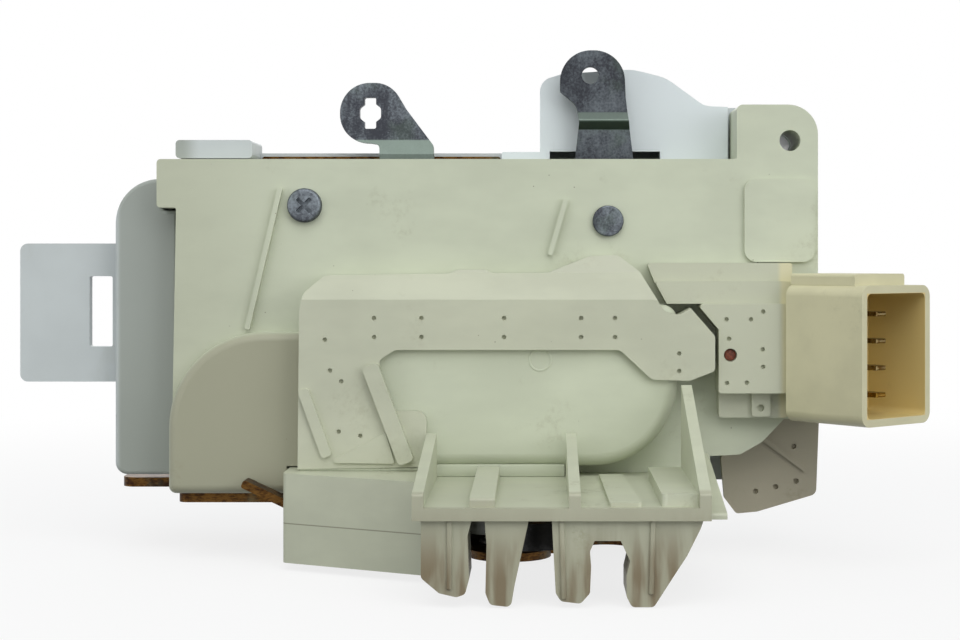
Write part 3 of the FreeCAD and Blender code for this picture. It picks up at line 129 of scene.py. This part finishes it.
class LatchSizes(bpy.types.PropertyGroup):
    """Sizes of the small moulded detail, and of the patterns in the finishes."""
    mark_radius: length("Mark radius", 0.0021, "Radius of the round mark on the dome")
    mark_rise: length("Mark rise", 0.00015, "How far the round mark's ring stands out")
    plug_radius: length("Box plug radius", 0.00115, "Radius of the red dot in the box's hole")
    ridge_width: length("Ridge width", 0.0009, "Width of the ridges on the legs")
    ridge_rise: length("Ridge rise", 0.0005, "How far the ridges stand out of the legs")
    edge: length("Moulded edge", 0.00028, "Width of the rounding on the mouldings' edges")
    grain: length("Grain", 0.0005, "Size of the moulded plastic's grain")
    speck: length("Speck spacing", 0.0034, "Distance between the dark specks")
    bloom: length("Bloom", 0.0030, "Size of the zinc's blotches")


def palette():
    """The scene's colours."""
    return bpy.context.scene.latch_colours


def sizes():
    """The scene's sizes."""
    return bpy.context.scene.latch_sizes


class Signal:
    """What flows between two shader nodes, with sums and products that add the nodes for them."""

    def __init__(self, nodes, socket):
        self.nodes = nodes
        self.socket = socket

    def _maths(self, operation, first, second):
        return self.nodes.node("ShaderNodeMath", {"operation": operation}, {0: first, 1: second})

    def __add__(self, other):
        return self._maths("ADD", self, other)

    __radd__ = __add__

    def __mul__(self, other):
        return self._maths("MULTIPLY", self, other)

    __rmul__ = __mul__

    def __sub__(self, other):
        return self._maths("SUBTRACT", self, other)

    def __rsub__(self, other):
        return self._maths("SUBTRACT", other, self)


class Nodes:
    """The nodes of one shader, of a material or of the world."""

    def __init__(self, tree):
        self.tree = tree
        tree.nodes.clear()

    def node(self, kind, settings=None, inputs=None, output=0):
        """A node of a kind, its settings made first, with values or links in its sockets."""
        made = self.tree.nodes.new(kind)
        for key, value in (settings or {}).items():
            setattr(made, key, value)
        for key, value in (inputs or {}).items():
            if isinstance(value, Signal):
                self.tree.links.new(value.socket, made.inputs[key])
            else:
                made.inputs[key].default_value = value
        return Signal(self, made.outputs[output])

    def end(self, shader, kind="ShaderNodeOutputMaterial"):
        """Ends the nodes in an output that a shader feeds."""
        made = self.tree.nodes.new(kind)
        self.tree.links.new(shader.socket, made.inputs["Surface"])

    def background_rays(self):
        """One for rays that see the background: from the camera, or by gloss or glass."""
        rays = 0.0
        for name in ("Is Camera Ray", "Is Glossy Ray", "Is Transmission Ray"):
            kind = self.node("ShaderNodeLightPath", output=name)
            rays = self.node("ShaderNodeMath", {"operation": "MAXIMUM"}, {0: rays, 1: kind})
        return rays


class Finish(Nodes):
    """The shader of one material."""

    def __init__(self, name):
        self.name = name
        self.material = bpy.data.materials.new(name)
        self.material.use_nodes = True
        super().__init__(self.material.node_tree)
        self.place = self.node("ShaderNodeTexCoord", output="Object")

    def noise(self, size, detail=3.0, roughness=0.55, place=None):
        """Soft noise of about one half, with features of a size in metres."""
        return self.node("ShaderNodeTexNoise", None, {
            "Vector": place or self.place, "Scale": 1.0 / size, "Detail": detail,
            "Roughness": roughness})

    def step(self, signal, low, high):
        """Nought below a level, one above another, and a smooth rise between."""
        return self.node("ShaderNodeMapRange", {"interpolation_type": "SMOOTHSTEP"},
                         {"Value": signal, "From Min": low, "From Max": high})

    def patches(self, size, low, high, detail=3.0, roughness=0.55, place=None):
        """Patches of a size in metres: nought where noise is under a level, and one over another."""
        return self.step(self.noise(size, detail, roughness, place), low, high)

    def band(self, signal, low, high, blur):
        """One between two levels and nought beyond them, with soft edges."""
        over_low = self.step(signal, low - blur, low + blur)
        return over_low * (1.0 - self.step(signal, high - blur, high + blur))

    def mix(self, share, first, second):
        """A colour between two others."""
        return self.node("ShaderNodeMix", {"data_type": "RGBA"},
                         {0: share, 6: full(first), 7: full(second)}, output=2)

    def tint(self, shade, other, where, share=1.0):
        """A colour that becomes another by a share, where a mask is one."""
        return self.mix(where * share, shade, other)

    def stretched(self, x, y, z):
        """The place, drawn out along the axes whose factor is under one."""
        return self.node("ShaderNodeMapping", None, {"Vector": self.place, "Scale": (x, y, z)})

    def axis(self, name):
        """One coordinate of the place, in metres."""
        return self.node("ShaderNodeSeparateXYZ", None, {"Vector": self.place}, output=name)

    def forward(self):
        """How far in front of the frame's origin the place lies, in metres."""
        return 0.0 - self.axis("Y")

    def bump(self, height, distance, strength):
        """A normal from a height."""
        return self.node("ShaderNodeBump", None, {
            "Height": height, "Distance": distance, "Strength": strength})

    def surface(self, Base_Color, **inputs):
        """Ends the shader in one surface, and gives the finish."""
        named = {key.replace("_", " "): value for key, value in inputs.items()}
        named["Base Color"] = full(Base_Color)
        self.end(self.node("ShaderNodeBsdfPrincipled", None, named))
        return self


def full(value):
    """A colour with its fourth part, or the link as it is."""
    if isinstance(value, Signal):
        return value
    return (value[0], value[1], value[2], 1.0)


def scaled(base, factor):
    """A colour made darker or paler."""
    return tuple(min(part * factor, 1.0) for part in base)


# Masks in the finishes: their places are in the row's frame, in metres


def over_bulge(finish):
    """Nought on the flat case, one on the front of the bulge at its lower left."""
    case_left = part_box("front_case")[0].x
    bulge_right, edge_blur = case_left + 0.0290, 0.0004
    case_face, bulge_face = 0.0219, 0.0232
    front = finish.step(finish.forward(), case_face, bulge_face)
    left = 1.0 - finish.step(finish.axis("X"), bulge_right, bulge_right + edge_blur)
    return front * left


def low_on_legs(finish):
    """One at the legs' feet, falling to nought at the shelf, in streaks: where painted shade lies."""
    dark_below, light_above, wander = 0.006, 0.020, 0.004
    behind_legs, at_legs = 0.0520, 0.0560
    streaks = finish.noise(0.010, place=finish.stretched(1.0, 1.0, 0.3))
    height = finish.axis("Z") + wander * streaks
    on_legs = finish.step(finish.forward(), behind_legs, at_legs)
    return on_legs * (1.0 - finish.step(height, dark_below, light_above))


def parting_line(finish):
    """One on the thin line where the block's two mould halves met."""
    line_height, sharp_half, soft_half = 0.0083, 0.00005, 0.00016
    block_right, edge_blur = -0.0200, 0.0004
    height = finish.axis("Z") - line_height
    on_line = 1.0 - finish.step(height * height, sharp_half ** 2, soft_half ** 2)
    on_block = 1.0 - finish.step(finish.axis("X"), block_right, block_right + edge_blur)
    return on_line * on_block


# The socket's hollow: the middle of its mouth, its turn, and its depth and half sizes in metres
SOCKET_MOUTH = at(79.85, -17.5, -6.1)
SOCKET_TURN = math.radians(-50.0)
SOCKET_DEPTH = 0.0142
SOCKET_HALF_WIDTH = 0.0087
SOCKET_HALF_HEIGHT = 0.0119


def in_socket(finish):
    """One inside the socket's walls, in the socket's own turned axes."""
    blur = 0.0001
    local = finish.node("ShaderNodeMapping", {"vector_type": "TEXTURE"}, {
        "Vector": finish.place, "Location": SOCKET_MOUTH, "Rotation": (0.0, 0.0, SOCKET_TURN)})
    outwards, across, up = (
        finish.node("ShaderNodeSeparateXYZ", None, {"Vector": local}, output=name) for name in "XYZ")
    within = finish.step(outwards, -SOCKET_DEPTH - blur, -SOCKET_DEPTH + blur)
    within = within * (1.0 - finish.step(outwards, 0.0, blur))
    for part, half in ((across, SOCKET_HALF_WIDTH), (up, SOCKET_HALF_HEIGHT)):
        within = within * (1.0 - finish.step(part * part, (half - blur) ** 2, half ** 2))
    return within


def dark_specks(finish):
    """One on small dark specks, which lie in loose groups."""
    cells = finish.node("ShaderNodeTexVoronoi", None, {
        "Vector": finish.place, "Scale": 1.0 / sizes().speck, "Randomness": 1.0})
    spots = 1.0 - finish.step(cells, 0.018, 0.052)
    return spots * finish.patches(0.011, 0.52, 0.60, detail=2.0)


def case_tones(finish, shade):
    """Painted shade on the case's left end, and on the front of its bulge at the lower left."""
    case_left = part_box("front_case")[0].x
    dark_end, pale_start = case_left + 0.004, case_left + 0.034
    left_end = 1.0 - finish.step(finish.axis("X"), dark_end, pale_start)
    # painted shade, deepening towards the case's left end
    shade = finish.tint(shade, palette().shaded_cream, left_end, share=0.30)
    return finish.tint(shade, palette().shaded_cream, over_bulge(finish))


def housing_tones(finish, shade):
    """Painted shade on the latch housing's feet, in patches, and on its legs' front faces; and its
    parting line.
    """
    before_edge, at_edge = 0.0700, 0.0712
    unevenness = finish.patches(0.0035, 0.40, 0.60, place=finish.stretched(1.0, 1.0, 0.15))
    # painted shade, in patches, darkening the legs towards their feet
    shade = finish.tint(shade, palette().painted_leg_shade, low_on_legs(finish) * (0.40 + 0.50 * unevenness))
    # painted shade on the legs' front faces
    front_edge = finish.step(finish.forward(), before_edge, at_edge)
    shade = finish.tint(shade, palette().painted_leg_shade, front_edge, share=0.30)
    return finish.tint(shade, palette().speck, parting_line(finish), share=0.6)


def connector_tones(finish, shade):
    """The carrier's colour on the connector's box and rails, and a warm painted glow inside its
    socket.
    """
    rails_end, socket_start = 0.0488, 0.0500
    on_socket = finish.step(finish.axis("X"), rails_end, socket_start)
    shade = finish.mix(on_socket, palette().carrier, shade)
    # painted glow inside the socket
    return finish.tint(shade, palette().socket_glow, in_socket(finish))


def moulded(name, base, rough=0.42, grime=0.35, specks=True, local_tones=None):
    """Moulded plastic: faint clouds, flow streaks, dark specks, grime in patches and a fine grain."""
    finish = Finish(name)
    clouds = finish.noise(0.030, detail=4.0)
    streaks = finish.noise(0.006, place=finish.stretched(0.35, 1.0, 1.0))
    tone = finish.step(clouds * 0.6 + streaks * 0.4, 0.36, 0.64)
    shade = finish.mix(tone, scaled(base, 0.93), scaled(base, 1.04))
    if local_tones:
        shade = local_tones(finish, shade)
    rubbed = finish.patches(0.018, 0.56, 0.74, detail=6.0, roughness=0.7)
    rubbed = rubbed * finish.patches(0.0014, 0.42, 0.62, detail=4.0, roughness=0.7)
    shade = finish.tint(shade, palette().grime, rubbed, share=grime)
    if specks:
        shade = finish.tint(shade, palette().speck, dark_specks(finish), share=0.75)
    height = 0.25 * finish.noise(sizes().grain, detail=2.0) + finish.noise(0.009, detail=2.0)
    return finish.surface(
        Base_Color=shade, Roughness=rough + 0.10 * tone + 0.14 * rubbed, IOR=1.5,
        Normal=finish.bump(height, distance=0.00012, strength=0.35))


def on_guard(finish):
    """One on the front of the white guard at the top, where painted light lies."""
    guard_face, behind_face = -0.0070, -0.0050
    before_guard, on_from = -0.012, -0.008
    in_front = 1.0 - finish.step(finish.axis("Y"), guard_face, behind_face)
    return in_front * finish.step(finish.axis("X"), before_guard, on_from)


def over_hollow(finish):
    """One on the white cover's front, which has a hollow behind it, and a little less higher up."""
    case_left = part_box("front_case")[0].x
    tab_root, root_blur = case_left - 0.0103, 0.0015
    cover_end, end_blur = case_left + 0.004, 0.004
    front_half, back_half = -0.004, 0.004
    cover_foot, cover_top = 0.012, 0.060
    along = finish.axis("X")
    on_cover = finish.step(along, tab_root, tab_root + root_blur)
    on_cover = on_cover * (1.0 - finish.step(along, cover_end, cover_end + end_blur))
    in_front = 1.0 - finish.step(finish.axis("Y"), front_half, back_half)
    low_down = 1.0 - finish.step(finish.axis("Z"), cover_foot, cover_top)
    return on_cover * in_front * (0.86 + 0.14 * low_down)


def white_plastic():
    """White plastic: greyer on the cover at the left, and paler on the guard with painted light."""
    colours = palette()
    finish = Finish("white_plastic")
    clouds = finish.noise(0.020)
    tone = finish.step(clouds, 0.35, 0.65)
    shade = finish.mix(tone, scaled(colours.white, 0.94), colours.white)
    # painted light on the guard's front
    shade = finish.tint(shade, colours.guard, on_guard(finish))
    shade = finish.tint(shade, colours.shaded_white, over_hollow(finish))
    upright = finish.stretched(1.0, 1.0, 0.4)
    smears = finish.patches(0.012, 0.55, 0.72, detail=5.0, roughness=0.7, place=upright)
    shade = finish.tint(shade, colours.grime, smears, share=0.12)
    height = 0.3 * finish.noise(sizes().grain, detail=2.0) + finish.noise(0.008, detail=2.0)
    return finish.surface(
        Base_Color=shade, Roughness=0.34 + 0.14 * clouds, IOR=1.49,
        Normal=finish.bump(height, distance=0.00010, strength=0.3))


def clear_zinc(name, dark, light, bands=()):
    """Clear zinc on steel: a fine spangle on slow clouds, with bands of painted highlight and of
    greener painted shade at the bends.
    """
    finish = Finish(name)
    clouds = finish.noise(sizes().bloom * 3.0)
    spangle = finish.noise(sizes().bloom * 0.16, detail=4.0, roughness=0.7)
    upright = finish.stretched(1.0, 1.0, 0.25)
    streaks = finish.noise(0.0016, detail=4.0, roughness=0.65, place=upright)
    blotch = finish.step(clouds * 0.40 + spangle * 0.35 + streaks * 0.25, 0.40, 0.64)
    shade = finish.mix(blotch, dark, light)
    shade = finish.tint(shade, palette().zinc_green, finish.patches(0.0070, 0.52, 0.70), share=0.25)
    # bands of painted highlight and painted shade at the bends
    for low, high, band_colour in bands:
        inside = finish.band(finish.axis("Z"), low, high, blur=0.0002)
        shade = finish.tint(shade, band_colour, inside * (0.75 + 0.25 * spangle))
    height = 0.5 * spangle + 0.5 * streaks
    return finish.surface(
        Base_Color=shade, Metallic=0.90, Roughness=0.36 + 0.20 * spangle,
        Normal=finish.bump(height, distance=0.00005, strength=0.5))


def yellow_zinc():
    """Yellow zinc on sheet steel: gold and brown bloom, with the sheared edge's lines."""
    colours = palette()
    finish = Finish("yellow_zinc")
    bloom = finish.noise(0.0035, detail=6.0, roughness=0.7)
    level = finish.stretched(1.0, 1.0, 4.0)
    lines = finish.noise(0.0011, detail=4.0, roughness=0.6, place=level)
    tone = finish.step(bloom * 0.5 + lines * 0.5, 0.40, 0.60)
    shade = finish.mix(tone, colours.yellow_dark, colours.yellow_zinc)
    shade = finish.tint(shade, colours.zinc_green, finish.patches(0.006, 0.52, 0.70), share=0.35)
    height = 0.6 * lines + 0.4 * bloom
    return finish.surface(
        Base_Color=shade, Metallic=0.88, Roughness=0.36 + 0.22 * lines,
        Normal=finish.bump(height, distance=0.00010, strength=0.6))


def blade_metal(name, base, dark):
    """Stamped contact metal, with tarnish and drawn lines along the blade."""
    finish = Finish(name)
    tarnish = finish.patches(0.0022, 0.44, 0.62, detail=6.0, roughness=0.7)
    lines = finish.noise(0.0005, detail=2.0, place=finish.stretched(0.15, 0.15, 1.0))
    return finish.surface(
        Base_Color=finish.mix(tarnish, base, dark), Metallic=0.95, Roughness=0.26 + 0.22 * tarnish,
        Normal=finish.bump(lines, distance=0.00004, strength=0.5))


def ground_steel(name, base, rough):
    """Plain steel with fine turned lines and a thin film of oil."""
    finish = Finish(name)
    film = finish.patches(0.007, 0.42, 0.62, detail=4.0)
    lines = finish.noise(0.0006, place=finish.stretched(1.0, 0.2, 1.0))
    return finish.surface(
        Base_Color=finish.mix(film, scaled(base, 0.72), base), Metallic=0.96,
        Roughness=rough + 0.16 * film, Normal=finish.bump(lines, distance=0.00004, strength=0.5))


def dark_polymer(name, base, rough):
    """Black plastic or rubber, with dust and a soft sheen."""
    finish = Finish(name)
    dust = finish.patches(0.004, 0.48, 0.70, detail=6.0, roughness=0.7)
    dusty = tuple(part * 2.4 + 0.01 for part in base)
    grain = finish.noise(0.0005, detail=2.0)
    return finish.surface(
        Base_Color=finish.tint(base, dusty, dust, share=0.5), Roughness=rough + 0.12 * dust,
        Normal=finish.bump(grain, distance=0.00008, strength=0.4))


def painted_dot():
    """The red dot in the box's hole, worn darker in places."""
    finish = Finish("red_dot")
    wear = finish.patches(0.0005, 0.40, 0.60)
    shade = finish.mix(wear, palette().mark, scaled(palette().mark, 0.55))
    return finish.surface(Base_Color=shade, Roughness=0.50 + 0.10 * wear)


# Bends of the levers, from a height to another in the row's frame, in metres: painted highlights on
# the neck and the fold, painted shade under the fold
RELEASE_NECK = (0.0790, 0.0836)
LOCK_FOLD = (0.0873, 0.0891)
UNDER_LOCK_FOLD = (0.0856, 0.0873)


def finishes():
    """Every finish's material by the finish's name, made once."""
    colours = palette()
    dark, light = colours.zinc_dark, colours.zinc_light
    # painted highlights on the release lever's neck and the lock lever's fold, and painted shade under
    # the fold
    neck = [(*RELEASE_NECK, colours.zinc_bend_highlight)]
    fold = [(*LOCK_FOLD, colours.zinc_bend_highlight), (*UNDER_LOCK_FOLD, colours.zinc_green)]
    made = (
        moulded("cream_case", colours.cream, local_tones=case_tones),
        # the corner cover's darker colour is painted shade of its recessed place
        moulded("shaded_cream_cover", colours.cover, grime=0.6),
        moulded("pale_carrier", colours.carrier, rough=0.38, grime=0.25),
        moulded("cream_housing", colours.housing, rough=0.44, grime=0.55, local_tones=housing_tones),
        moulded("cream_socket", colours.socket, rough=0.36, grime=0.3, specks=False,
                local_tones=connector_tones),
        white_plastic(),
        clear_zinc("release_zinc", dark, light, neck),
        clear_zinc("lock_zinc", scaled(dark, 0.7), scaled(light, 0.55), fold),
        clear_zinc("screw_zinc", dark, light),
        yellow_zinc(),
        blade_metal("tinned_brass", colours.tin, colours.brass_dark),
        blade_metal("plain_brass", colours.brass, colours.brass_dark),
        ground_steel("bright_steel", colours.steel, rough=0.26),
        ground_steel("spring_steel", colours.spring, rough=0.34),
        dark_polymer("black_plastic", colours.black, rough=0.20),
        dark_polymer("black_rubber", colours.rubber, rough=0.62),
        painted_dot(),
    )
    return {finish.name: finish.material for finish in made}


NODE_FINISHES = {
    "front_case": "cream_case",
    "corner_cover": "shaded_cream_cover",
    "conductor_carrier": "pale_carrier",
    "connector_shell": "cream_socket",
    "latch_housing": "cream_housing",
    "rear_case": "white_plastic",
    "mid_plate": "yellow_zinc",
    "back_plate": "yellow_zinc",
    "face_plate": "yellow_zinc",
    "release_tongue": "yellow_zinc",
    "tongue_pin": "yellow_zinc",
    "claw_pin": "yellow_zinc",
    "pawl_pin": "yellow_zinc",
    "claw_washer": "screw_zinc",
    "claw": "bright_steel",
    "pawl": "bright_steel",
    "claw_coat": "black_plastic",
    "bump_stop": "black_rubber",
    "claw_spring": "spring_steel",
    "pawl_spring": "spring_steel",
    "release_spring": "spring_steel",
    "release_lever": "release_zinc",
    "lock_lever": "lock_zinc",
    "lock_rivet": "screw_zinc",
    "release_pin": "screw_zinc",
    "cover_screw": "screw_zinc",
    "motor": "bright_steel",
    "motor_shaft": "bright_steel",
    "worm": "plain_brass",
    "worm_wheel": "white_plastic",
    "wheel_pin": "bright_steel",
    "lock_switch": "black_plastic",
    "switch_plunger": "white_plastic",
    "terminal_1": "tinned_brass",
    "terminal_2": "tinned_brass",
    "terminal_3": "tinned_brass",
    "terminal_4": "plain_brass",
}

# Packed mouldings whose edges are rounded
MOULDED_NODES = (
    "front_case", "rear_case", "corner_cover", "conductor_carrier", "connector_shell",
    "latch_housing")


def soften_edges(piece, width):
    """Rounds the sharp edges of a packed moulding with modifiers, and leaves its mesh as it is."""
    piece.modifiers.new("joined_edges", "WELD").merge_threshold = 1e-6
    bevel = piece.modifiers.new("rounded_edges", "BEVEL")
    bevel.width = width
    bevel.segments = 2
    bevel.limit_method = "ANGLE"
    bevel.angle_limit = math.radians(40.0)
    piece.modifiers.new("even_shading", "WEIGHTED_NORMAL").keep_sharp = True


def add_block(mesh, middle, extent, turn=None):
    """Adds a box to a bmesh, by its middle, its three sizes and a turn about its middle."""
    made = bmesh.ops.create_cube(mesh, size=1.0)
    shape = Matrix.Diagonal((*extent, 1.0))
    if turn:
        shape = turn @ shape
    bmesh.ops.transform(mesh, matrix=Matrix.Translation(middle) @ shape, verts=made["verts"])


def round_edges(mesh, width, segments=2):
    """Rounds every edge of a bmesh."""
    bmesh.ops.bevel(mesh, geom=list(mesh.edges), offset=width, offset_type="OFFSET", affect="EDGES",
                    segments=segments, profile=0.5, material=-1, clamp_overlap=True)


def raised_ring(centre, radius, width, rise):
    """A bmesh of a low raised ring on a front face, spun round its own middle."""
    mesh = bmesh.new()
    profile_steps, round_steps = 6, 40
    profile = []
    for index in range(profile_steps + 1):
        angle = math.pi * index / profile_steps
        outwards = radius - width / 2 * math.cos(angle)
        profile.append(mesh.verts.new(centre + Vector((outwards, -rise * math.sin(angle), 0.0))))
    edges = [mesh.edges.new(pair) for pair in zip(profile, profile[1:])]
    bmesh.ops.spin(mesh, geom=profile + edges, cent=centre, axis=(0, 1, 0), dvec=(0, 0, 0),
                   angle=2 * math.pi, steps=round_steps, use_merge=True, use_duplicate=False)
    return mesh


def piece_from(mesh, name, body, material):
    """A finished piece from a bmesh whose place is in its vertices."""
    bmesh.ops.remove_doubles(mesh, verts=mesh.verts, dist=1e-7)
    bmesh.ops.recalc_face_normals(mesh, faces=mesh.faces)
    data = bpy.data.meshes.new(name)
    mesh.to_mesh(data)
    mesh.free()
    for face in data.polygons:
        face.use_smooth = True
    piece = bpy.data.objects.new(name, data)
    bpy.context.scene.collection.objects.link(piece)
    data.materials.append(material)
    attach(piece, body)


class LATCH_OT_dress(bpy.types.Operator):
    """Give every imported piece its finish, and round the mouldings' edges"""
    bl_idname = "latch.dress"
    bl_label = "Dress the packed pieces"

    def execute(self, context):
        made = finishes()
        missing = sorted(set(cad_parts) - set(NODE_FINISHES))
        if missing:
            raise RuntimeError("no finish for " + ", ".join(missing))
        for node, name in NODE_FINISHES.items():
            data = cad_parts[node].data
            if not data.materials:
                data.materials.append(made[name])
            for index in range(len(data.materials)):
                data.materials[index] = made[name]
        for node in MOULDED_NODES:
            soften_edges(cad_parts[node], sizes().edge)
        return {"FINISHED"}


class LATCH_OT_dome_mark(bpy.types.Operator):
    """Add the round moulded mark on the dome"""
    bl_idname = "latch.dome_mark"
    bl_label = "Dome mark"

    def execute(self, context):
        ring_width, sunk = 0.0005, 0.00002
        centre = at(12.0, 0.0, -7.5)
        centre.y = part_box("front_case")[0].y + sunk
        mesh = raised_ring(centre, sizes().mark_radius, ring_width, sizes().mark_rise)
        piece_from(mesh, "dome_mark", "root", bpy.data.materials["cream_case"])
        return {"FINISHED"}


class LATCH_OT_box_plug(bpy.types.Operator):
    """Add the red dot in the box's larger hole"""
    bl_idname = "latch.box_plug"
    bl_label = "Box plug"

    def execute(self, context):
        hole, depth, rounding = at(49.3, -6.7, -6.6), 0.0006, 0.00012
        mesh = bmesh.new()
        made = bmesh.ops.create_circle(mesh, cap_ends=True, segments=32, radius=sizes().plug_radius)
        turned = Matrix.Translation(hole) @ Matrix.Rotation(math.pi / 2, 4, "X")
        bmesh.ops.transform(mesh, matrix=turned, verts=made["verts"])
        raised = bmesh.ops.extrude_face_region(mesh, geom=list(mesh.faces))
        moved = [part for part in raised["geom"] if isinstance(part, bmesh.types.BMVert)]
        bmesh.ops.translate(mesh, verts=moved, vec=(0, depth, 0))
        round_edges(mesh, rounding)
        piece_from(mesh, "box_plug", "root", bpy.data.materials["red_dot"])
        return {"FINISHED"}


# Thin feet that close the seams under the dome and under the carrier: two opposite corners of
# each in the drawing, in millimetres
FEET = (
    ((-9.0, -7.96, -30.36), (16.8, -1.0, -28.0)),
    ((-34.8, -9.3, -29.07), (-10.4, -1.0, -28.5)),
)


class LATCH_OT_dome_foot(bpy.types.Operator):
    """Add the thin feet under the dome and the carrier"""
    bl_idname = "latch.dome_foot"
    bl_label = "Dome foot"

    def execute(self, context):
        rounding = 0.00012
        mesh = bmesh.new()
        for corner, opposite in FEET:
            low, high = at(*corner), at(*opposite)
            add_block(mesh, (low + high) / 2, high - low)
        round_edges(mesh, rounding)
        piece_from(mesh, "dome_foot", "root", bpy.data.materials["cream_case"])
        return {"FINISHED"}


# Ridges on the legs: the middle along the case and the foot in the drawing, in millimetres, and
# the lean in degrees
RIDGES = ((-3.6, -44.6, 0.0), (15.9, -46.2, -1.5), (31.3, -45.4, 1.5))


class LATCH_OT_leg_ridges(bpy.types.Operator):
    """Add the upright ridges on the legs' fronts"""
    bl_idname = "latch.leg_ridges"
    bl_label = "Leg ridges"

    def execute(self, context):
        width, rise = sizes().ridge_width / MM, sizes().ridge_rise / MM
        leg_front, shelf_bottom, depth = -50.5, -32.6, 1.2
        rounding = 0.00022
        mesh = bmesh.new()
        for along, foot, lean in RIDGES:
            middle = at(along, leg_front - rise + depth / 2, (shelf_bottom + foot) / 2)
            extent = Vector((width, depth, shelf_bottom - foot)) * MM
            add_block(mesh, middle, extent, Matrix.Rotation(math.radians(lean), 4, "Y"))
        round_edges(mesh, rounding, segments=3)
        piece_from(mesh, "leg_ridges", "root", bpy.data.materials["cream_housing"])
        return {"FINISHED"}


class LATCH_OT_stage(bpy.types.Operator):
    """Set the floor, the lamps, the sky and the camera"""
    bl_idname = "latch.stage"
    bl_label = "Stage"

    def execute(self, context):
        context.scene.view_settings.view_transform = "Standard"
        floor()
        sky()
        lamp("key_lamp", (0.05, -0.60, 0.72), width=0.90, power=4.9)
        lamp("fill_lamp", (0.62, -0.66, 0.14), width=0.60, power=2.8)
        lamp("back_lamp", (-0.30, 0.80, 0.45), width=0.70, power=1.8)
        lamp("left_lamp", (-0.70, -0.50, 0.14), width=0.60, power=1.5)
        camera()
        return {"FINISHED"}


def camera():
    """The camera in the photograph's place: level, in front of the case, its frame moved to match."""
    image_width = 960
    view_centre = Vector((480, 320))
    straight_ahead = Vector((540, 256))
    data = bpy.data.cameras.new("camera")
    data.sensor_width = 36.0
    data.lens = 67.5
    data.shift_x = (view_centre.x - straight_ahead.x) / image_width
    data.shift_y = (straight_ahead.y - view_centre.y) / image_width
    data.clip_start = 0.01
    seen = bpy.data.objects.new("camera", data)
    bpy.context.scene.collection.objects.link(seen)
    seen.location = at(12.0, -360.0, 12.8)
    seen.rotation_euler = (math.pi / 2, 0.0, 0.0)
    bpy.context.scene.camera = seen


def lamp(name, place, width, power):
    """A square soft lamp that faces the object, by its place and width in metres and its watts."""
    data = bpy.data.lights.new(name, "AREA")
    data.shape = "SQUARE"
    data.size = width
    data.energy = power
    shown = bpy.data.objects.new(name, data)
    bpy.context.scene.collection.objects.link(shown)
    shown.location = place
    middle = (cad_low + cad_high) / 2
    shown.rotation_euler = (middle - Vector(place)).to_track_quat("-Z", "Y").to_euler()


def sky():
    """White for the rays that see it, and a soft grey light for the rest."""
    world = bpy.data.worlds.new("sky")
    world.use_nodes = True
    nodes = Nodes(world.node_tree)
    seen = nodes.node("ShaderNodeBackground", None, {"Color": (1.0, 1.0, 1.0, 1.0)})
    light = nodes.node("ShaderNodeBackground", None, {
        "Color": (0.95, 0.98, 1.0, 1.0), "Strength": 0.42})
    shares = {0: nodes.background_rays(), 1: light, 2: seen}
    nodes.end(nodes.node("ShaderNodeMixShader", None, shares), "ShaderNodeOutputWorld")
    bpy.context.scene.world = world


def floor():
    """A plain pale floor just under the lowest piece, white where no shadow falls."""
    reach, gap = 4.0, 0.0002
    mesh = bmesh.new()
    made = bmesh.ops.create_grid(mesh, x_segments=1, y_segments=1, size=reach)
    bmesh.ops.translate(mesh, verts=made["verts"], vec=(0, 0, cad_low.z - gap))
    data = bpy.data.meshes.new("floor")
    mesh.to_mesh(data)
    mesh.free()
    ground = bpy.data.objects.new("floor", data)
    bpy.context.scene.collection.objects.link(ground)
    data.materials.append(floor_finish())


def floor_finish():
    """Paper that glows white for the rays that see it, save a share near the object for its shadow."""
    finish = Finish("floor")
    lit_grey, seen_grey = 0.22, 0.82
    always_white, white_near, white_from = 0.80, 0.10, 0.36
    rays = finish.background_rays()
    grey = lit_grey + (seen_grey - lit_grey) * rays
    paper = finish.node("ShaderNodeBsdfDiffuse", None, {
        "Color": finish.node("ShaderNodeCombineColor", None, {0: grey, 1: grey, 2: grey})})
    glow = finish.node("ShaderNodeEmission", None, {"Color": (1.0, 1.0, 1.0, 1.0), "Strength": 1.0})
    away = finish.node(
        "ShaderNodeVectorMath", {"operation": "LENGTH"}, {0: finish.place}, output="Value")
    far = finish.step(away, white_near, white_from)
    white_share = always_white + (1.0 - always_white) * far
    shares = {0: rays * white_share, 1: paper, 2: glow}
    finish.end(finish.node("ShaderNodeMixShader", None, shares))
    return finish.material


class LATCH_PT_panel(bpy.types.Panel):
    """Lists the latch's operators and values"""
    bl_label = "Door latch actuator"
    bl_idname = "LATCH_PT_panel"
    bl_space_type = "VIEW_3D"
    bl_region_type = "UI"
    bl_category = "Latch"

    def draw(self, context):
        for operator in OPERATORS:
            self.layout.operator(operator.bl_idname)
        for group in (context.scene.latch_colours, context.scene.latch_sizes):
            for name in group.bl_rna.properties.keys():
                if name not in ("rna_type", "name"):
                    self.layout.prop(group, name)


OPERATORS = (
    LATCH_OT_dress, LATCH_OT_dome_mark, LATCH_OT_box_plug, LATCH_OT_dome_foot, LATCH_OT_leg_ridges,
    LATCH_OT_stage)
CLASSES = (LatchColours, LatchSizes) + OPERATORS + (LATCH_PT_panel,)


def register():
    """Makes the classes known and puts the values on the scene."""
    for kind in CLASSES:
        bpy.utils.register_class(kind)
    bpy.types.Scene.latch_colours = PointerProperty(type=LatchColours)
    bpy.types.Scene.latch_sizes = PointerProperty(type=LatchSizes)


def unregister():
    """Takes the values and the classes away again."""
    del bpy.types.Scene.latch_sizes
    del bpy.types.Scene.latch_colours
    for kind in reversed(CLASSES):
        bpy.utils.unregister_class(kind)


def main():
    """Makes everything in order."""
    register()
    bpy.ops.latch.dress()
    bpy.ops.latch.dome_mark()
    bpy.ops.latch.box_plug()
    bpy.ops.latch.dome_foot()
    bpy.ops.latch.leg_ridges()
    bpy.ops.latch.stage()


if __name__ == "__main__":
    main()
